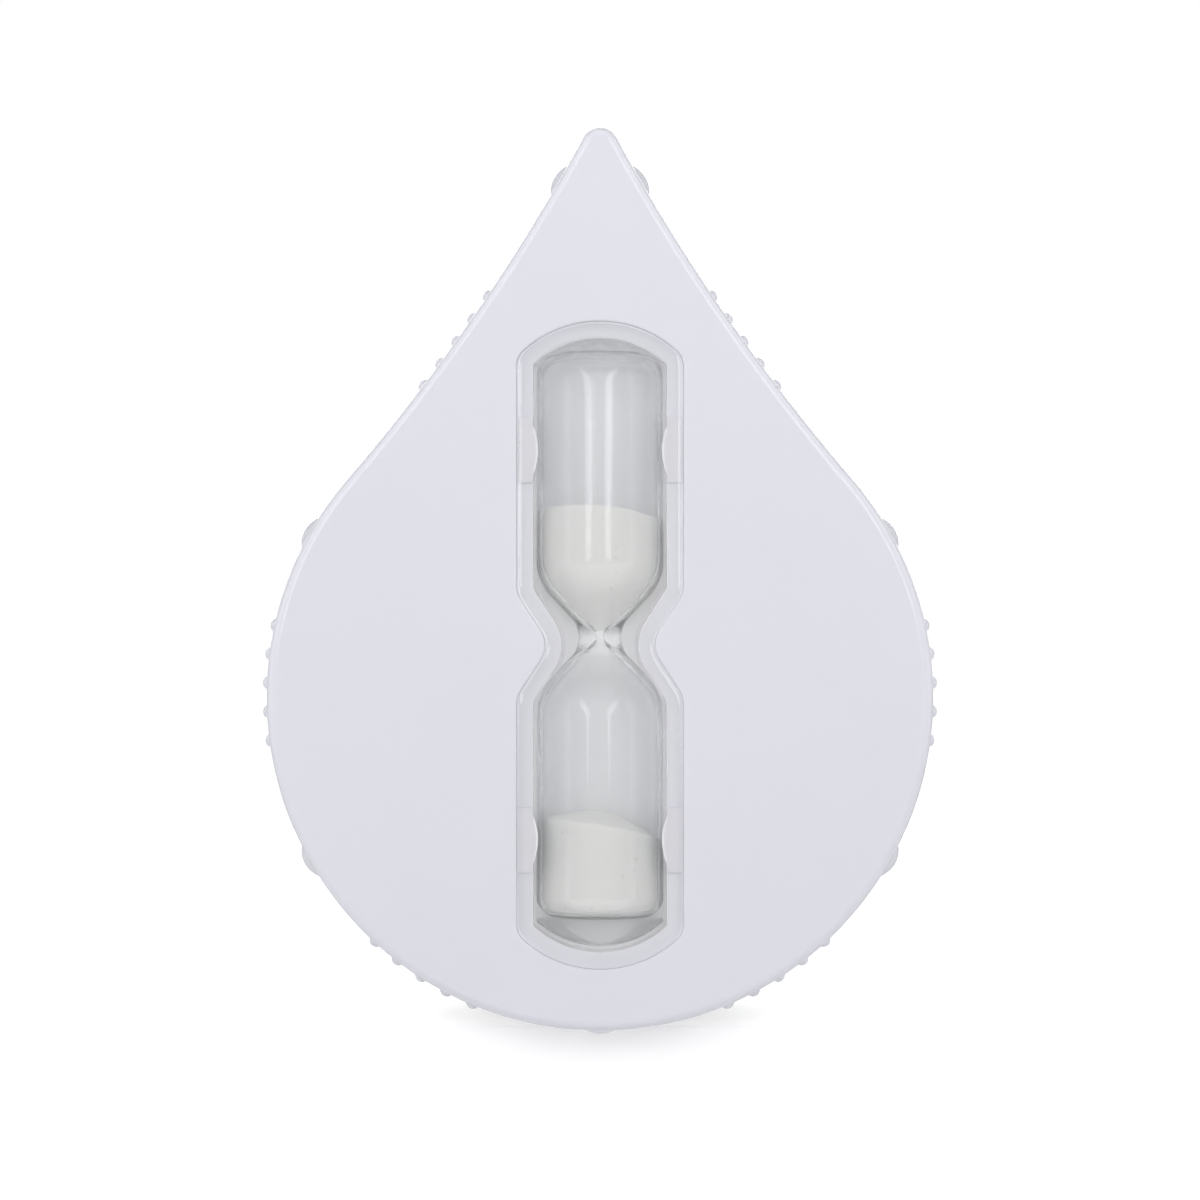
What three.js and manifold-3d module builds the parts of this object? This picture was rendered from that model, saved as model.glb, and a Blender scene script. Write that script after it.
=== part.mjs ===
// Shower timer: a water-drop housing with a sand glass, which turns on the stud of a suction cup.
// Millimetres. The object is drawn as its user sees it on the wall: x to the right, y up and
// z out of the wall, with the swivel axis at x = y = 0 and the wall at z = 0. The exported group
// turns it upright, so that +Z is up and the front faces -Y.
import * as THREE from 'three';
import { mergeVertices } from 'three/addons/utils/BufferGeometryUtils.js';
import Module from 'manifold-3d';

const wasm = await Module();
wasm.setup();

// Clearances
const FIT_GAP = 0.3; // between pieces that seat on or in one another
const GLASS_GAP = 0.3; // between the glass and what holds it
const SAND_GAP = 0.3; // between the sand and the glass

// Sand glass
const VIAL_RADIUS = 8.1;
const VIAL_LENGTH = 73.6;
const VIAL_CORNER = 3.4; // outer rounding of the closed ends
const VIAL_LIFT = 1; // middle of the sand glass above the swivel axis
const GLASS_WALL = 0.95;
const GLASS_END = 1.4;
const BORE_CORNER = 2; // inner rounding of the closed ends
const NECK_RADIUS = 2.7; // outside of the drawn-in neck
const NECK_THROAT = 3.7; // rounding in the outside of the neck
const BORE_RADIUS = 0.45; // hole that the sand runs through
const BORE_THROAT = 1.1; // rounding in the hole
const TAPER_LEAN = 43; // degrees between the tapers and the axis
const SHOULDER_ROUND = 6; // inner rounding between a taper and its chamber
const FILL_HOLE_RADIUS = 2;

// Sand
const UPPER_DEPTH = 16; // surface of the upper sand above the middle of the neck
const UPPER_FALL = 0.09; // how far that surface falls to the right, per millimetre
const SAND_OUTLET = 0.9; // lowest upper sand above the middle of the neck
const HEAP_HEIGHT = 13.3; // top of the lower sand above the floor of the glass
const HEAP_TOP_RADIUS = 0.2;
const HEAP_FALL_RIGHT = 0.6; // slopes of the lower heap, in millimetres per millimetre
const HEAP_FALL_LEFT = 0.18;
const HEAP_FALL_FRONT = 0.29;

// Window and its clear cover
const LEDGE_WIDTH = 2.1; // step that the cover rests on
const LEDGE_THICKNESS = 1.5;
const LEDGE_BACKING = 1.5; // how far the step's back reaches under the face
const TROUGH_GAP = 0.4; // room beside the sand glass
const END_ROOM = 2.3; // room past each end of the sand glass
const WAIST_ROOM = 2.2; // room beside the neck
const WAIST_LEAN = 33; // degrees between the window's slanted edges and the upright
const WAIST_ROUND = 3.5;
const OPENING_SHOULDER = 1.4; // roundings of the opening inside the step
const OPENING_CORNER = 0.5;
const ARCH_RISE = 4.6; // height of the curved window ends
const TROUGH_WALL = 1.2;
const LENS_THICKNESS = 1.8;
const LENS_EDGE = 0.45; // chamfer round the front of the cover
const LEG_SETIN = 16.4; // middle of each snap leg from the window's nearer end
const LEG_LENGTH = 8.2;
const LEG_THICKNESS = 1.8;
const LEG_DEPTH = 11.6;
const GRIP_LENGTH = 6.1; // pad on each leg that holds the sand glass
const GRIP_BULGE = 0.6;
const GRIP_DEPTH = 5.7;
const BARB_PROUD = 0.65;
const BARB_HEIGHT = 2.4;
const BARB_SETBACK = 0.3; // plain end of a leg under its barb
const POCKET_ROOM = 1; // below the end of a leg

// Housing
const BODY_DROP = 6.6; // centre of the drop's round part below the swivel axis
const FACE_BELOW = 7.9; // face left below the window
const FACE_ABOVE = 22.2; // face from the window to the centre of the tip
const TIP_RADIUS = 2.5;
const FLANK_RADIUS = 250; // hollow sides between the tip and the round part
const SHARPEST_TIP = 0.2;
const SIDE_DRAFT = 0.3; // how much the side wall leans in from rear to front
const FRONT_FILLET = 1;
const SHELL_WALL = 2;
const FACE_THICKNESS = 2;
const RIM_LIP = 1; // wall left outside the rear cover
const COVER_THICKNESS = 2;
const COVER_CHAMFER = 0.4;
const FLOOR_ROOM = 1.1; // between the trough and the rear cover
const POST_RADIUS = 3.4;
const POST_SETIN = 13.5; // lower screw posts in from the edge of the round part
const POST_SPREAD = 48; // degrees from straight down
const POST_STANDOFF = 7.8; // top screw post above the window
const PILOT_DEPTH = 9;

// Screws of the rear cover
const SCREW_RADIUS = 1.3;
const SCREW_LENGTH = 8;
const SCREW_POINT = 1.6;
const HEAD_RADIUS = 2.5;
const HEAD_HEIGHT = 1.7;
const HEAD_CHAMFER = 0.8;
const HEAD_SUNK = 0.8; // below the rear face
const WELL_WALL = 1.2;
const WELL_FLOOR = 1.6;

// Grip ribs along the side wall
const SMALL_RIB_RADIUS = 0.9;
const SMALL_RIB_PROUD = 0.6;
const BIG_RIB_RADIUS = 3.65;
const BIG_RIB_PROUD = 0.88;
const FOOT_RIB_PROUD = 0.6;
const RIB_SETBACK = 2.4; // front end of the ribs behind the face
const RIBS_IN_GROUP = 5;
const ROUND_PITCH = 5; // degrees between ribs on the round part
const FLANK_PITCH = 3.5; // millimetres between ribs on the flanks
const ROUND_GROUPS = [2.5, -57.4]; // degrees above the level of the round part's centre
const ROUND_BIG_RIBS = [29.5, -29.5];
const FLANK_GROUP_HEIGHT = 38.8;
const FLANK_BIG_RIB_HEIGHT = 59.3;

// Suction cup
const CUP_STAND = 7; // rear face of the housing to the wall
const CUP_RADIUS = 21;
const CUP_LAND = 3; // flat sealing ring
const CUP_LIP = 0.8;
const CUP_HOLLOW = 3.4;
const CUP_SHOULDER_RADIUS = 8.5;
const CUP_SHOULDER = 1.3;
const CUP_CROWN = 0.72; // shape of the cup's back: 1 is a plain cone, less is fuller
const STUD_RADIUS = 4;
const STUD_HEAD_RADIUS = 5.2;
const STUD_HEAD_EDGE = 0.8;
const STUD_HEAD_DOME = 1.1;

// Facets
const ROUND_STEPS = 54;
const FLANK_STEPS = 8;
const TIP_STEPS = 6;
const BEND_STEPS = 3;
const ARCH_STEPS = 4;
const FILLET_STEPS = 3;
const GLASS_SIDES = 24;
const TROUGH_SIDES = 20;
const SAND_SIDES = 24;
const SAND_RINGS = 3;
const CUP_SIDES = 40;
const POST_SIDES = 16;
const SMALL_RIB_SIDES = 10;
const BIG_RIB_SIDES = 24;

// Places that follow from the sizes above
const bodyDepth = LENS_THICKNESS + GLASS_GAP + 2 * VIAL_RADIUS + TROUGH_GAP + TROUGH_WALL
  + FLOOR_ROOM + COVER_THICKNESS;
const rearZ = CUP_STAND;
const frontZ = rearZ + bodyDepth;
const coverInnerZ = rearZ + COVER_THICKNESS;
const lensBackZ = frontZ - LENS_THICKNESS;
const ledgeZ = lensBackZ - FIT_GAP;
const vialZ = lensBackZ - GLASS_GAP - VIAL_RADIUS;
const windowHalfWidth = VIAL_RADIUS + TROUGH_GAP + LEDGE_WIDTH;
const windowHalfHeight = VIAL_LENGTH / 2 + END_ROOM + LEDGE_WIDTH;
const waistHalfWidth = NECK_RADIUS + WAIST_ROOM + LEDGE_WIDTH;
const bodyRadius = windowHalfHeight + FACE_BELOW - BODY_DROP;
const tipHeight = windowHalfHeight + FACE_ABOVE;
const vialFloorY = VIAL_LIFT - VIAL_LENGTH / 2 + GLASS_END;
const legHeight = windowHalfHeight - LEG_SETIN;
const legOuter = windowHalfWidth - FIT_GAP;
const legInner = legOuter - LEG_THICKNESS;
const legEndZ = lensBackZ - LEG_DEPTH;
const barbZ = legEndZ + BARB_SETBACK;
const seatZ = rearZ + HEAD_SUNK + HEAD_HEIGHT;
const wellEndZ = seatZ + FIT_GAP + WELL_FLOOR;
const postEndZ = wellEndZ + FIT_GAP;
const cut = 1; // how far a cutting tool runs past the face that it opens

// Geometry helpers

function radians(degrees) {
  return degrees * Math.PI / 180;
}

function arc(x, y, radius, from, to, steps) {
  const points = [];
  for (let step = 0; step <= steps; step += 1) {
    const angle = from + (to - from) * step / steps;
    points.push(new THREE.Vector2(x + radius * Math.cos(angle), y + radius * Math.sin(angle)));
  }
  return points;
}

// Radius of an arc over a chord.
function bowRadius(halfChord, rise) {
  return (halfChord ** 2 + rise ** 2) / (2 * rise);
}

function mirrored(points) {
  return points.map((point) => new THREE.Vector2(-point.x, point.y)).reverse();
}

// A closed geometry as a solid, with its shared vertices merged and its faces pointing out.
function solid(geometry) {
  geometry.deleteAttribute('normal');
  geometry.deleteAttribute('uv');
  const merged = mergeVertices(geometry, 1e-4);
  const places = merged.attributes.position.array;
  const corner = (index) => new THREE.Vector3().fromArray(places, 3 * index);
  const triangles = [];
  let volume = 0;
  for (let first = 0; first < merged.index.count; first += 3) {
    const [a, b, c] = merged.index.array.slice(first, first + 3);
    if (a !== b && b !== c && c !== a) {
      triangles.push([a, b, c]);
      volume += corner(a).dot(corner(b).cross(corner(c)));
    }
  }
  const outward = volume > 0 ? triangles : triangles.map(([a, b, c]) => [a, c, b]);
  const triVerts = Uint32Array.from(outward.flat());
  return new wasm.Manifold(new wasm.Mesh({ numProp: 3, vertProperties: places, triVerts }));
}

// Rings with equal numbers of points, skinned one to the next and closed at both ends.
function skin(rings) {
  const count = rings[0].length;
  const places = rings.flat().flatMap((point) => point.toArray());
  const index = [];
  for (let ring = 0; ring + 1 < rings.length; ring += 1) {
    for (let point = 0; point < count; point += 1) {
      const next = (point + 1) % count;
      const low = ring * count;
      const high = low + count;
      index.push(low + point, low + next, high + next);
      index.push(low + point, high + next, high + point);
    }
  }
  const flat = (ring) => ring.map((point) => new THREE.Vector2(point.x, point.y));
  for (const [a, b, c] of THREE.ShapeUtils.triangulateShape(flat(rings[0]), [])) {
    index.push(a, c, b);
  }
  const last = (rings.length - 1) * count;
  for (const [a, b, c] of THREE.ShapeUtils.triangulateShape(flat(rings.at(-1)), [])) {
    index.push(last + a, last + b, last + c);
  }
  const geometry = new THREE.BufferGeometry();
  geometry.setAttribute('position', new THREE.Float32BufferAttribute(places, 3));
  geometry.setIndex(index);
  return solid(geometry);
}

// A stack of outlines, each given as its points and its height above the wall.
function loft(levels) {
  return skin(levels.map(([outline, z]) => outline.map(({ x, y }) => new THREE.Vector3(x, y, z))));
}

function prism(outline, fromZ, toZ) {
  return loft([[outline, fromZ], [outline, toZ]]);
}

function block(x0, x1, y0, y1, z0, z1) {
  const geometry = new THREE.BoxGeometry(x1 - x0, y1 - y0, z1 - z0);
  geometry.translate((x0 + x1) / 2, (y0 + y1) / 2, (z0 + z1) / 2);
  return solid(geometry);
}

// A profile turned about the upright axis of the sand glass.
function turnedUpright(profile, sides) {
  const geometry = new THREE.LatheGeometry(profile, sides);
  geometry.translate(0, 0, vialZ);
  return solid(geometry);
}

// A profile of radius and height above the wall, turned about an axis square to the wall.
function turnedFromWall(profile, sides, x = 0, y = 0) {
  const geometry = new THREE.LatheGeometry(profile.map(([r, z]) => new THREE.Vector2(r, z)), sides);
  geometry.rotateX(Math.PI / 2);
  geometry.translate(x, y, 0);
  return solid(geometry);
}

function post(x, y, radius, fromZ, toZ) {
  return turnedFromWall([[0, fromZ], [radius, fromZ], [radius, toZ], [0, toZ]], POST_SIDES, x, y);
}

// One side of an hourglass, from the middle of its waist upwards: a hollow rounding, a slanted
// stretch and a full rounding that ends upright at the given side. Insets keep the same centres.
function waistedSide(waist, waistRound, side, shoulderRound, leanDegrees, inset, middle = 0) {
  const lean = radians(leanDegrees);
  const slant = (side - waist - (waistRound + shoulderRound) * (1 - Math.cos(lean))) / Math.sin(lean);
  const shoulderY = (waistRound + shoulderRound) * Math.sin(lean) + slant * Math.cos(lean);
  return [
    ...arc(waist + waistRound, middle, waistRound + inset, Math.PI, Math.PI - lean, BEND_STEPS),
    ...arc(side - shoulderRound, middle + shoulderY, shoulderRound - inset, -lean, 0, BEND_STEPS),
  ];
}

// Both halves of a side that is the same above and below the given height.
function bothWays(upper, middle = 0) {
  const lower = upper.slice(1).map(({ x, y }) => new THREE.Vector2(x, 2 * middle - y)).reverse();
  return [...lower, ...upper];
}

// Outlines

// The drop, drawn in from its outermost edge. Every inset has the same number of points.
const flankY = ((bodyRadius - TIP_RADIUS) * (2 * FLANK_RADIUS + bodyRadius + TIP_RADIUS)
  / (tipHeight + BODY_DROP) + tipHeight - BODY_DROP) / 2;
const flankX = Math.sqrt((FLANK_RADIUS + bodyRadius) ** 2 - (flankY + BODY_DROP) ** 2);

function dropOutline(inset) {
  const tip = Math.max(TIP_RADIUS - inset, SHARPEST_TIP);
  const tipY = flankY - Math.sqrt((FLANK_RADIUS + inset + tip) ** 2 - flankX ** 2);
  const bodyAngle = Math.atan2(flankY + BODY_DROP, flankX);
  const tipAngle = Math.atan2(flankY - tipY, flankX);
  const flank = arc(flankX, flankY, FLANK_RADIUS + inset, Math.PI + bodyAngle, Math.PI + tipAngle,
    FLANK_STEPS);
  return [
    ...arc(0, -BODY_DROP, bodyRadius - inset, Math.PI - bodyAngle, 2 * Math.PI + bodyAngle, ROUND_STEPS),
    ...flank.slice(1),
    ...arc(0, tipY, tip, tipAngle, Math.PI - tipAngle, TIP_STEPS).slice(1),
    ...mirrored(flank).slice(1, -1),
  ];
}

// Right half of the window, from the bottom of its axis to the top.
function windowHalf(inset) {
  const shoulder = OPENING_SHOULDER + LEDGE_WIDTH;
  const corner = OPENING_CORNER + LEDGE_WIDTH;
  const archRadius = bowRadius(windowHalfWidth, ARCH_RISE);
  const archY = windowHalfHeight - archRadius;
  const cornerX = windowHalfWidth - corner;
  const cornerRise = Math.sqrt((archRadius - corner) ** 2 - cornerX ** 2);
  const cornerAngle = Math.atan2(cornerRise, cornerX);
  return bothWays([
    ...waistedSide(waistHalfWidth, WAIST_ROUND, windowHalfWidth, shoulder, WAIST_LEAN, inset),
    ...arc(cornerX, archY + cornerRise, corner - inset, 0, cornerAngle, BEND_STEPS),
    ...arc(0, archY, archRadius - inset, cornerAngle, Math.PI / 2, ARCH_STEPS).slice(1),
  ]);
}

function windowOutline(inset) {
  const half = windowHalf(inset);
  return [...half, ...mirrored(half).slice(1, -1)];
}

// Profile of the sand glass, outside or in its bore, from the bottom of its axis to the top.
function glassProfile({ radius, neck, throat, shoulder, halfLength, corner }) {
  return bothWays([
    ...waistedSide(neck, throat, radius, shoulder, TAPER_LEAN, 0, VIAL_LIFT),
    ...arc(radius - corner, VIAL_LIFT + halfLength - corner, corner, 0, Math.PI / 2, BEND_STEPS),
    new THREE.Vector2(0, VIAL_LIFT + halfLength),
  ], VIAL_LIFT);
}

function glassOutside(extra) {
  return glassProfile({
    radius: VIAL_RADIUS + extra,
    neck: NECK_RADIUS + extra,
    throat: NECK_THROAT - extra,
    shoulder: SHOULDER_ROUND + GLASS_WALL + extra,
    halfLength: VIAL_LENGTH / 2 + extra,
    corner: VIAL_CORNER + extra,
  });
}

function glassBore(inset) {
  return glassProfile({
    radius: VIAL_RADIUS - GLASS_WALL - inset,
    neck: BORE_RADIUS - Math.min(inset, BORE_RADIUS / 2),
    throat: BORE_THROAT + inset,
    shoulder: SHOULDER_ROUND - inset,
    halfLength: VIAL_LENGTH / 2 - GLASS_END - inset,
    corner: BORE_CORNER - inset,
  });
}

// Grip ribs: rods along the depth with domed front ends, half sunk in the side wall.
function gripRib(x, y, outX, outY, radius, proud, sides) {
  const domeZ = frontZ - RIB_SETBACK - Math.sqrt(radius ** 2 - (radius - proud) ** 2);
  const dome = arc(0, domeZ, radius, 0, Math.PI / 2, BEND_STEPS).map((point) => [point.x, point.y]);
  const sunk = radius - proud;
  return turnedFromWall([[0, rearZ], [radius, rearZ], ...dome], sides, x - outX * sunk, y - outY * sunk);
}

function smallRib(x, y, outX, outY) {
  return gripRib(x, y, outX, outY, SMALL_RIB_RADIUS, SMALL_RIB_PROUD, SMALL_RIB_SIDES);
}

function bigRib(x, y, outX, outY, proud = BIG_RIB_PROUD) {
  return gripRib(x, y, outX, outY, BIG_RIB_RADIUS, proud, BIG_RIB_SIDES);
}

function onRound(degrees, side, make) {
  const outX = side * Math.cos(radians(degrees));
  const outY = Math.sin(radians(degrees));
  return make(bodyRadius * outX, bodyRadius * outY - BODY_DROP, outX, outY);
}

function onFlank(height, along, side, make) {
  const angle = Math.asin((flankY - height) / FLANK_RADIUS) - along / FLANK_RADIUS;
  const x = flankX - FLANK_RADIUS * Math.cos(angle);
  const y = flankY - FLANK_RADIUS * Math.sin(angle);
  return make(side * x, y, side * Math.cos(angle), Math.sin(angle));
}

function gripRibs() {
  const ribs = [bigRib(0, -BODY_DROP - bodyRadius, 0, -1, FOOT_RIB_PROUD)];
  const places = Array.from({ length: RIBS_IN_GROUP }, (_, rib) => rib - (RIBS_IN_GROUP - 1) / 2);
  for (const side of [-1, 1]) {
    for (const group of ROUND_GROUPS) {
      ribs.push(...places.map((place) => onRound(group + place * ROUND_PITCH, side, smallRib)));
    }
    ribs.push(...ROUND_BIG_RIBS.map((degrees) => onRound(degrees, side, bigRib)));
    ribs.push(...places.map((place) => onFlank(FLANK_GROUP_HEIGHT, place * FLANK_PITCH, side, smallRib)));
    ribs.push(onFlank(FLANK_BIG_RIB_HEIGHT, 0, side, bigRib));
  }
  return ribs;
}

// Places of the three screws, as seen from the front
const postCircle = bodyRadius - POST_SETIN;
const lowerPostX = postCircle * Math.sin(radians(POST_SPREAD));
const lowerPostY = -BODY_DROP - postCircle * Math.cos(radians(POST_SPREAD));
const screwPlaces = {
  top: [0, windowHalfHeight + POST_STANDOFF],
  left: [-lowerPostX, lowerPostY],
  right: [lowerPostX, lowerPostY],
};
const legCorners = [[1, 1], [-1, 1], [-1, -1], [1, -1]];

// Front shell

// Outside of the housing, with its draft and the rounding round the face.
function housingForm() {
  const filletZ = frontZ - FRONT_FILLET;
  const levels = [[dropOutline(0), rearZ]];
  for (const { x, y } of arc(FRONT_FILLET, 0, FRONT_FILLET, Math.PI, Math.PI / 2, FILLET_STEPS)) {
    levels.push([dropOutline(SIDE_DRAFT + x), filletZ + y]);
  }
  return loft(levels);
}

// The trough behind the window: straight walls down to the axis of the sand glass, then a half round
// that follows the same hourglass outline.
function troughForm(inset, topZ) {
  const walls = prism(windowOutline(inset), vialZ, topZ);
  return walls.add(turnedUpright(windowHalf(inset), TROUGH_SIDES));
}

// Space for one snap leg beside the trough, grown by the wall round it.
function legPocket([right, up], grow, innerX, topZ) {
  const outerX = windowHalfWidth + grow;
  const halfLength = LEG_LENGTH / 2 + FIT_GAP + grow;
  const [x0, x1] = right > 0 ? [innerX, outerX] : [-outerX, -innerX];
  const y = up * legHeight;
  return block(x0, x1, y - halfLength, y + halfLength, legEndZ - POCKET_ROOM - grow, topZ);
}

// Hole in the pocket's outer wall for the leg's barb.
function barbHole([right, up]) {
  const x = right * (windowHalfWidth + TROUGH_WALL / 2);
  const halfWall = TROUGH_WALL / 2 + BARB_PROUD;
  const halfLength = GRIP_LENGTH / 2 + FIT_GAP;
  const y = up * legHeight;
  const topZ = barbZ + BARB_HEIGHT + FIT_GAP;
  return block(x - halfWall, x + halfWall, y - halfLength, y + halfLength, barbZ - FIT_GAP, topZ);
}

function frontShell() {
  const faceBackZ = frontZ - FACE_THICKNESS;
  const intoFaceZ = frontZ - FACE_THICKNESS / 2;
  const hollow = loft([
    [dropOutline(SHELL_WALL), coverInnerZ],
    [dropOutline(SHELL_WALL + SIDE_DRAFT), faceBackZ],
  ]);
  const rebate = prism(dropOutline(RIM_LIP), rearZ - cut, coverInnerZ + FIT_GAP);
  let shell = gripRibs().reduce((form, rib) => form.add(rib), housingForm());
  shell = shell.subtract(hollow).subtract(rebate);
  shell = shell.add(prism(windowOutline(-LEDGE_BACKING), ledgeZ - LEDGE_THICKNESS, intoFaceZ));
  shell = shell.add(troughForm(LEDGE_WIDTH - TROUGH_WALL, intoFaceZ));
  for (const corner of legCorners) {
    shell = shell.add(legPocket(corner, TROUGH_WALL, VIAL_RADIUS, intoFaceZ));
  }
  for (const [x, y] of Object.values(screwPlaces)) {
    shell = shell.add(post(x, y, POST_RADIUS, postEndZ, intoFaceZ));
    shell = shell.subtract(post(x, y, SCREW_RADIUS + FIT_GAP, postEndZ - cut, postEndZ + PILOT_DEPTH));
  }
  shell = shell.subtract(prism(windowOutline(0), ledgeZ, frontZ + cut));
  shell = shell.subtract(troughForm(LEDGE_WIDTH, ledgeZ + cut));
  for (const corner of legCorners) {
    shell = shell.subtract(legPocket(corner, 0, legInner - GRIP_BULGE, ledgeZ + FIT_GAP));
    shell = shell.subtract(barbHole(corner));
  }
  return shell.subtract(turnedUpright(glassOutside(GLASS_GAP), GLASS_SIDES));
}

// Clear window cover with four snap legs

function snapLeg([right, up]) {
  const rootZ = lensBackZ + LENS_THICKNESS / 2;
  const y = up * legHeight;
  const [x0, x1] = right > 0 ? [legInner, legOuter] : [-legOuter, -legInner];
  const leg = block(x0, x1, y - LEG_LENGTH / 2, y + LEG_LENGTH / 2, legEndZ, rootZ);

  // The pad bows in towards the sand glass, on a chord at the leg's inner face.
  const bow = bowRadius(GRIP_LENGTH / 2, GRIP_BULGE);
  const half = Math.asin(GRIP_LENGTH / 2 / bow);
  const inward = right > 0 ? Math.PI : 0;
  const centreX = right * (legInner - GRIP_BULGE + bow);
  const bowed = arc(centreX, y, bow, inward - half, inward + half, 2 * BEND_STEPS);
  const backX = right * (legInner + LEG_THICKNESS / 2);
  const pad = [...bowed, new THREE.Vector2(backX, bowed.at(-1).y), new THREE.Vector2(backX, bowed[0].y)];

  // The barb is a wedge on the outer face, with its ledge towards the window.
  const barb = new THREE.Shape([
    new THREE.Vector2(right * (legOuter - LEG_THICKNESS / 2), barbZ),
    new THREE.Vector2(right * legOuter, barbZ),
    new THREE.Vector2(right * (legOuter + BARB_PROUD), barbZ + BARB_HEIGHT),
    new THREE.Vector2(right * (legOuter - LEG_THICKNESS / 2), barbZ + BARB_HEIGHT),
  ]);
  const wedge = new THREE.ExtrudeGeometry(barb, { depth: GRIP_LENGTH, bevelEnabled: false });
  wedge.rotateX(Math.PI / 2);
  wedge.translate(0, y + GRIP_LENGTH / 2, 0);
  return leg.add(prism(pad, lensBackZ - GRIP_DEPTH, rootZ)).add(solid(wedge));
}

function windowLens() {
  const plate = loft([
    [windowOutline(FIT_GAP / 2), lensBackZ],
    [windowOutline(FIT_GAP / 2), frontZ - LENS_EDGE],
    [windowOutline(FIT_GAP / 2 + LENS_EDGE), frontZ],
  ]);
  const lens = legCorners.reduce((form, corner) => form.add(snapLeg(corner)), plate);
  return lens.subtract(turnedUpright(glassOutside(GLASS_GAP), GLASS_SIDES));
}

// Sand glass

function fillHole(radius, below, above) {
  const from = vialFloorY - GLASS_END - below;
  const to = vialFloorY + above;
  const profile = [[0, from], [radius, from], [radius, to], [0, to]];
  return turnedUpright(profile.map(([r, y]) => new THREE.Vector2(r, y)), GLASS_SIDES);
}

function glassVial() {
  const outside = turnedUpright(glassOutside(0), GLASS_SIDES);
  const bore = turnedUpright(glassBore(0), GLASS_SIDES);
  return outside.subtract(bore).subtract(fillHole(FILL_HOLE_RADIUS, cut, cut));
}

function vialStopper() {
  return fillHole(FILL_HOLE_RADIUS - GLASS_GAP, 0, 0);
}

// A round block up to a surface whose height is given for each place across the sand glass.
function blockUnder(surface, bottomY) {
  const ring = (radius, height) => Array.from({ length: SAND_SIDES }, (_, side) => {
    const angle = 2 * Math.PI * side / SAND_SIDES;
    const x = radius * Math.cos(angle);
    const z = radius * Math.sin(angle);
    return new THREE.Vector3(x, z, height(x, z));
  });
  const rings = [ring(VIAL_RADIUS, () => bottomY)];
  for (let step = 0; step <= SAND_RINGS; step += 1) {
    const radius = VIAL_RADIUS + (HEAP_TOP_RADIUS - VIAL_RADIUS) * step / SAND_RINGS;
    rings.push(ring(radius, surface));
  }
  return skin(rings).rotate([-90, 0, 0]).translate([0, 0, vialZ]);
}

function sandIn(surface, bottomY) {
  return turnedUpright(glassBore(SAND_GAP), SAND_SIDES).intersect(blockUnder(surface, bottomY));
}

function sandUpper() {
  return sandIn((x) => VIAL_LIFT + UPPER_DEPTH - UPPER_FALL * x, VIAL_LIFT + SAND_OUTLET);
}

function sandLower() {
  const lean = (HEAP_FALL_RIGHT - HEAP_FALL_LEFT) / 2;
  const spread = (HEAP_FALL_RIGHT + HEAP_FALL_LEFT) / 2 - HEAP_FALL_FRONT;
  const surface = (x, z) => {
    const radius = Math.hypot(x, z);
    const across = x / radius;
    const fall = HEAP_FALL_FRONT + lean * across + spread * across ** 2;
    return vialFloorY + HEAP_HEIGHT - radius * fall;
  };
  return sandIn(surface, vialFloorY);
}

// Rear cover with its screw wells and the hole for the suction cup's stud

function rearCover() {
  const inset = RIM_LIP + FIT_GAP;
  let cover = loft([
    [dropOutline(inset + COVER_CHAMFER), rearZ],
    [dropOutline(inset), rearZ + COVER_CHAMFER],
    [dropOutline(inset), coverInnerZ],
  ]);
  const headRoom = HEAD_RADIUS + FIT_GAP;
  for (const [x, y] of Object.values(screwPlaces)) {
    cover = cover.add(post(x, y, headRoom + WELL_WALL, rearZ + COVER_THICKNESS / 2, wellEndZ));
    cover = cover.subtract(post(x, y, headRoom, rearZ - cut, seatZ + FIT_GAP));
    cover = cover.subtract(post(x, y, SCREW_RADIUS + FIT_GAP, rearZ, wellEndZ + cut));
  }
  return cover.subtract(post(0, 0, STUD_RADIUS + FIT_GAP, rearZ - cut, coverInnerZ + cut));
}

function coverScrew([x, y]) {
  const crownZ = rearZ + HEAD_SUNK;
  const endZ = seatZ + SCREW_LENGTH;
  return turnedFromWall([
    [0, crownZ],
    [HEAD_RADIUS - HEAD_CHAMFER, crownZ],
    [HEAD_RADIUS, crownZ + HEAD_CHAMFER],
    [HEAD_RADIUS, seatZ],
    [SCREW_RADIUS, seatZ],
    [SCREW_RADIUS, endZ - SCREW_POINT],
    [0, endZ],
  ], POST_SIDES, x, y);
}

// Suction cup with its mushroom stud

// Profile of a shallow dome, from its rim to the axis.
function dome(rim, rise, rimZ, steps) {
  const radius = bowRadius(rim, rise);
  const half = Math.asin(rim / radius);
  return arc(0, rimZ + rise - radius, radius, Math.PI / 2 - half, Math.PI / 2, steps);
}

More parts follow.
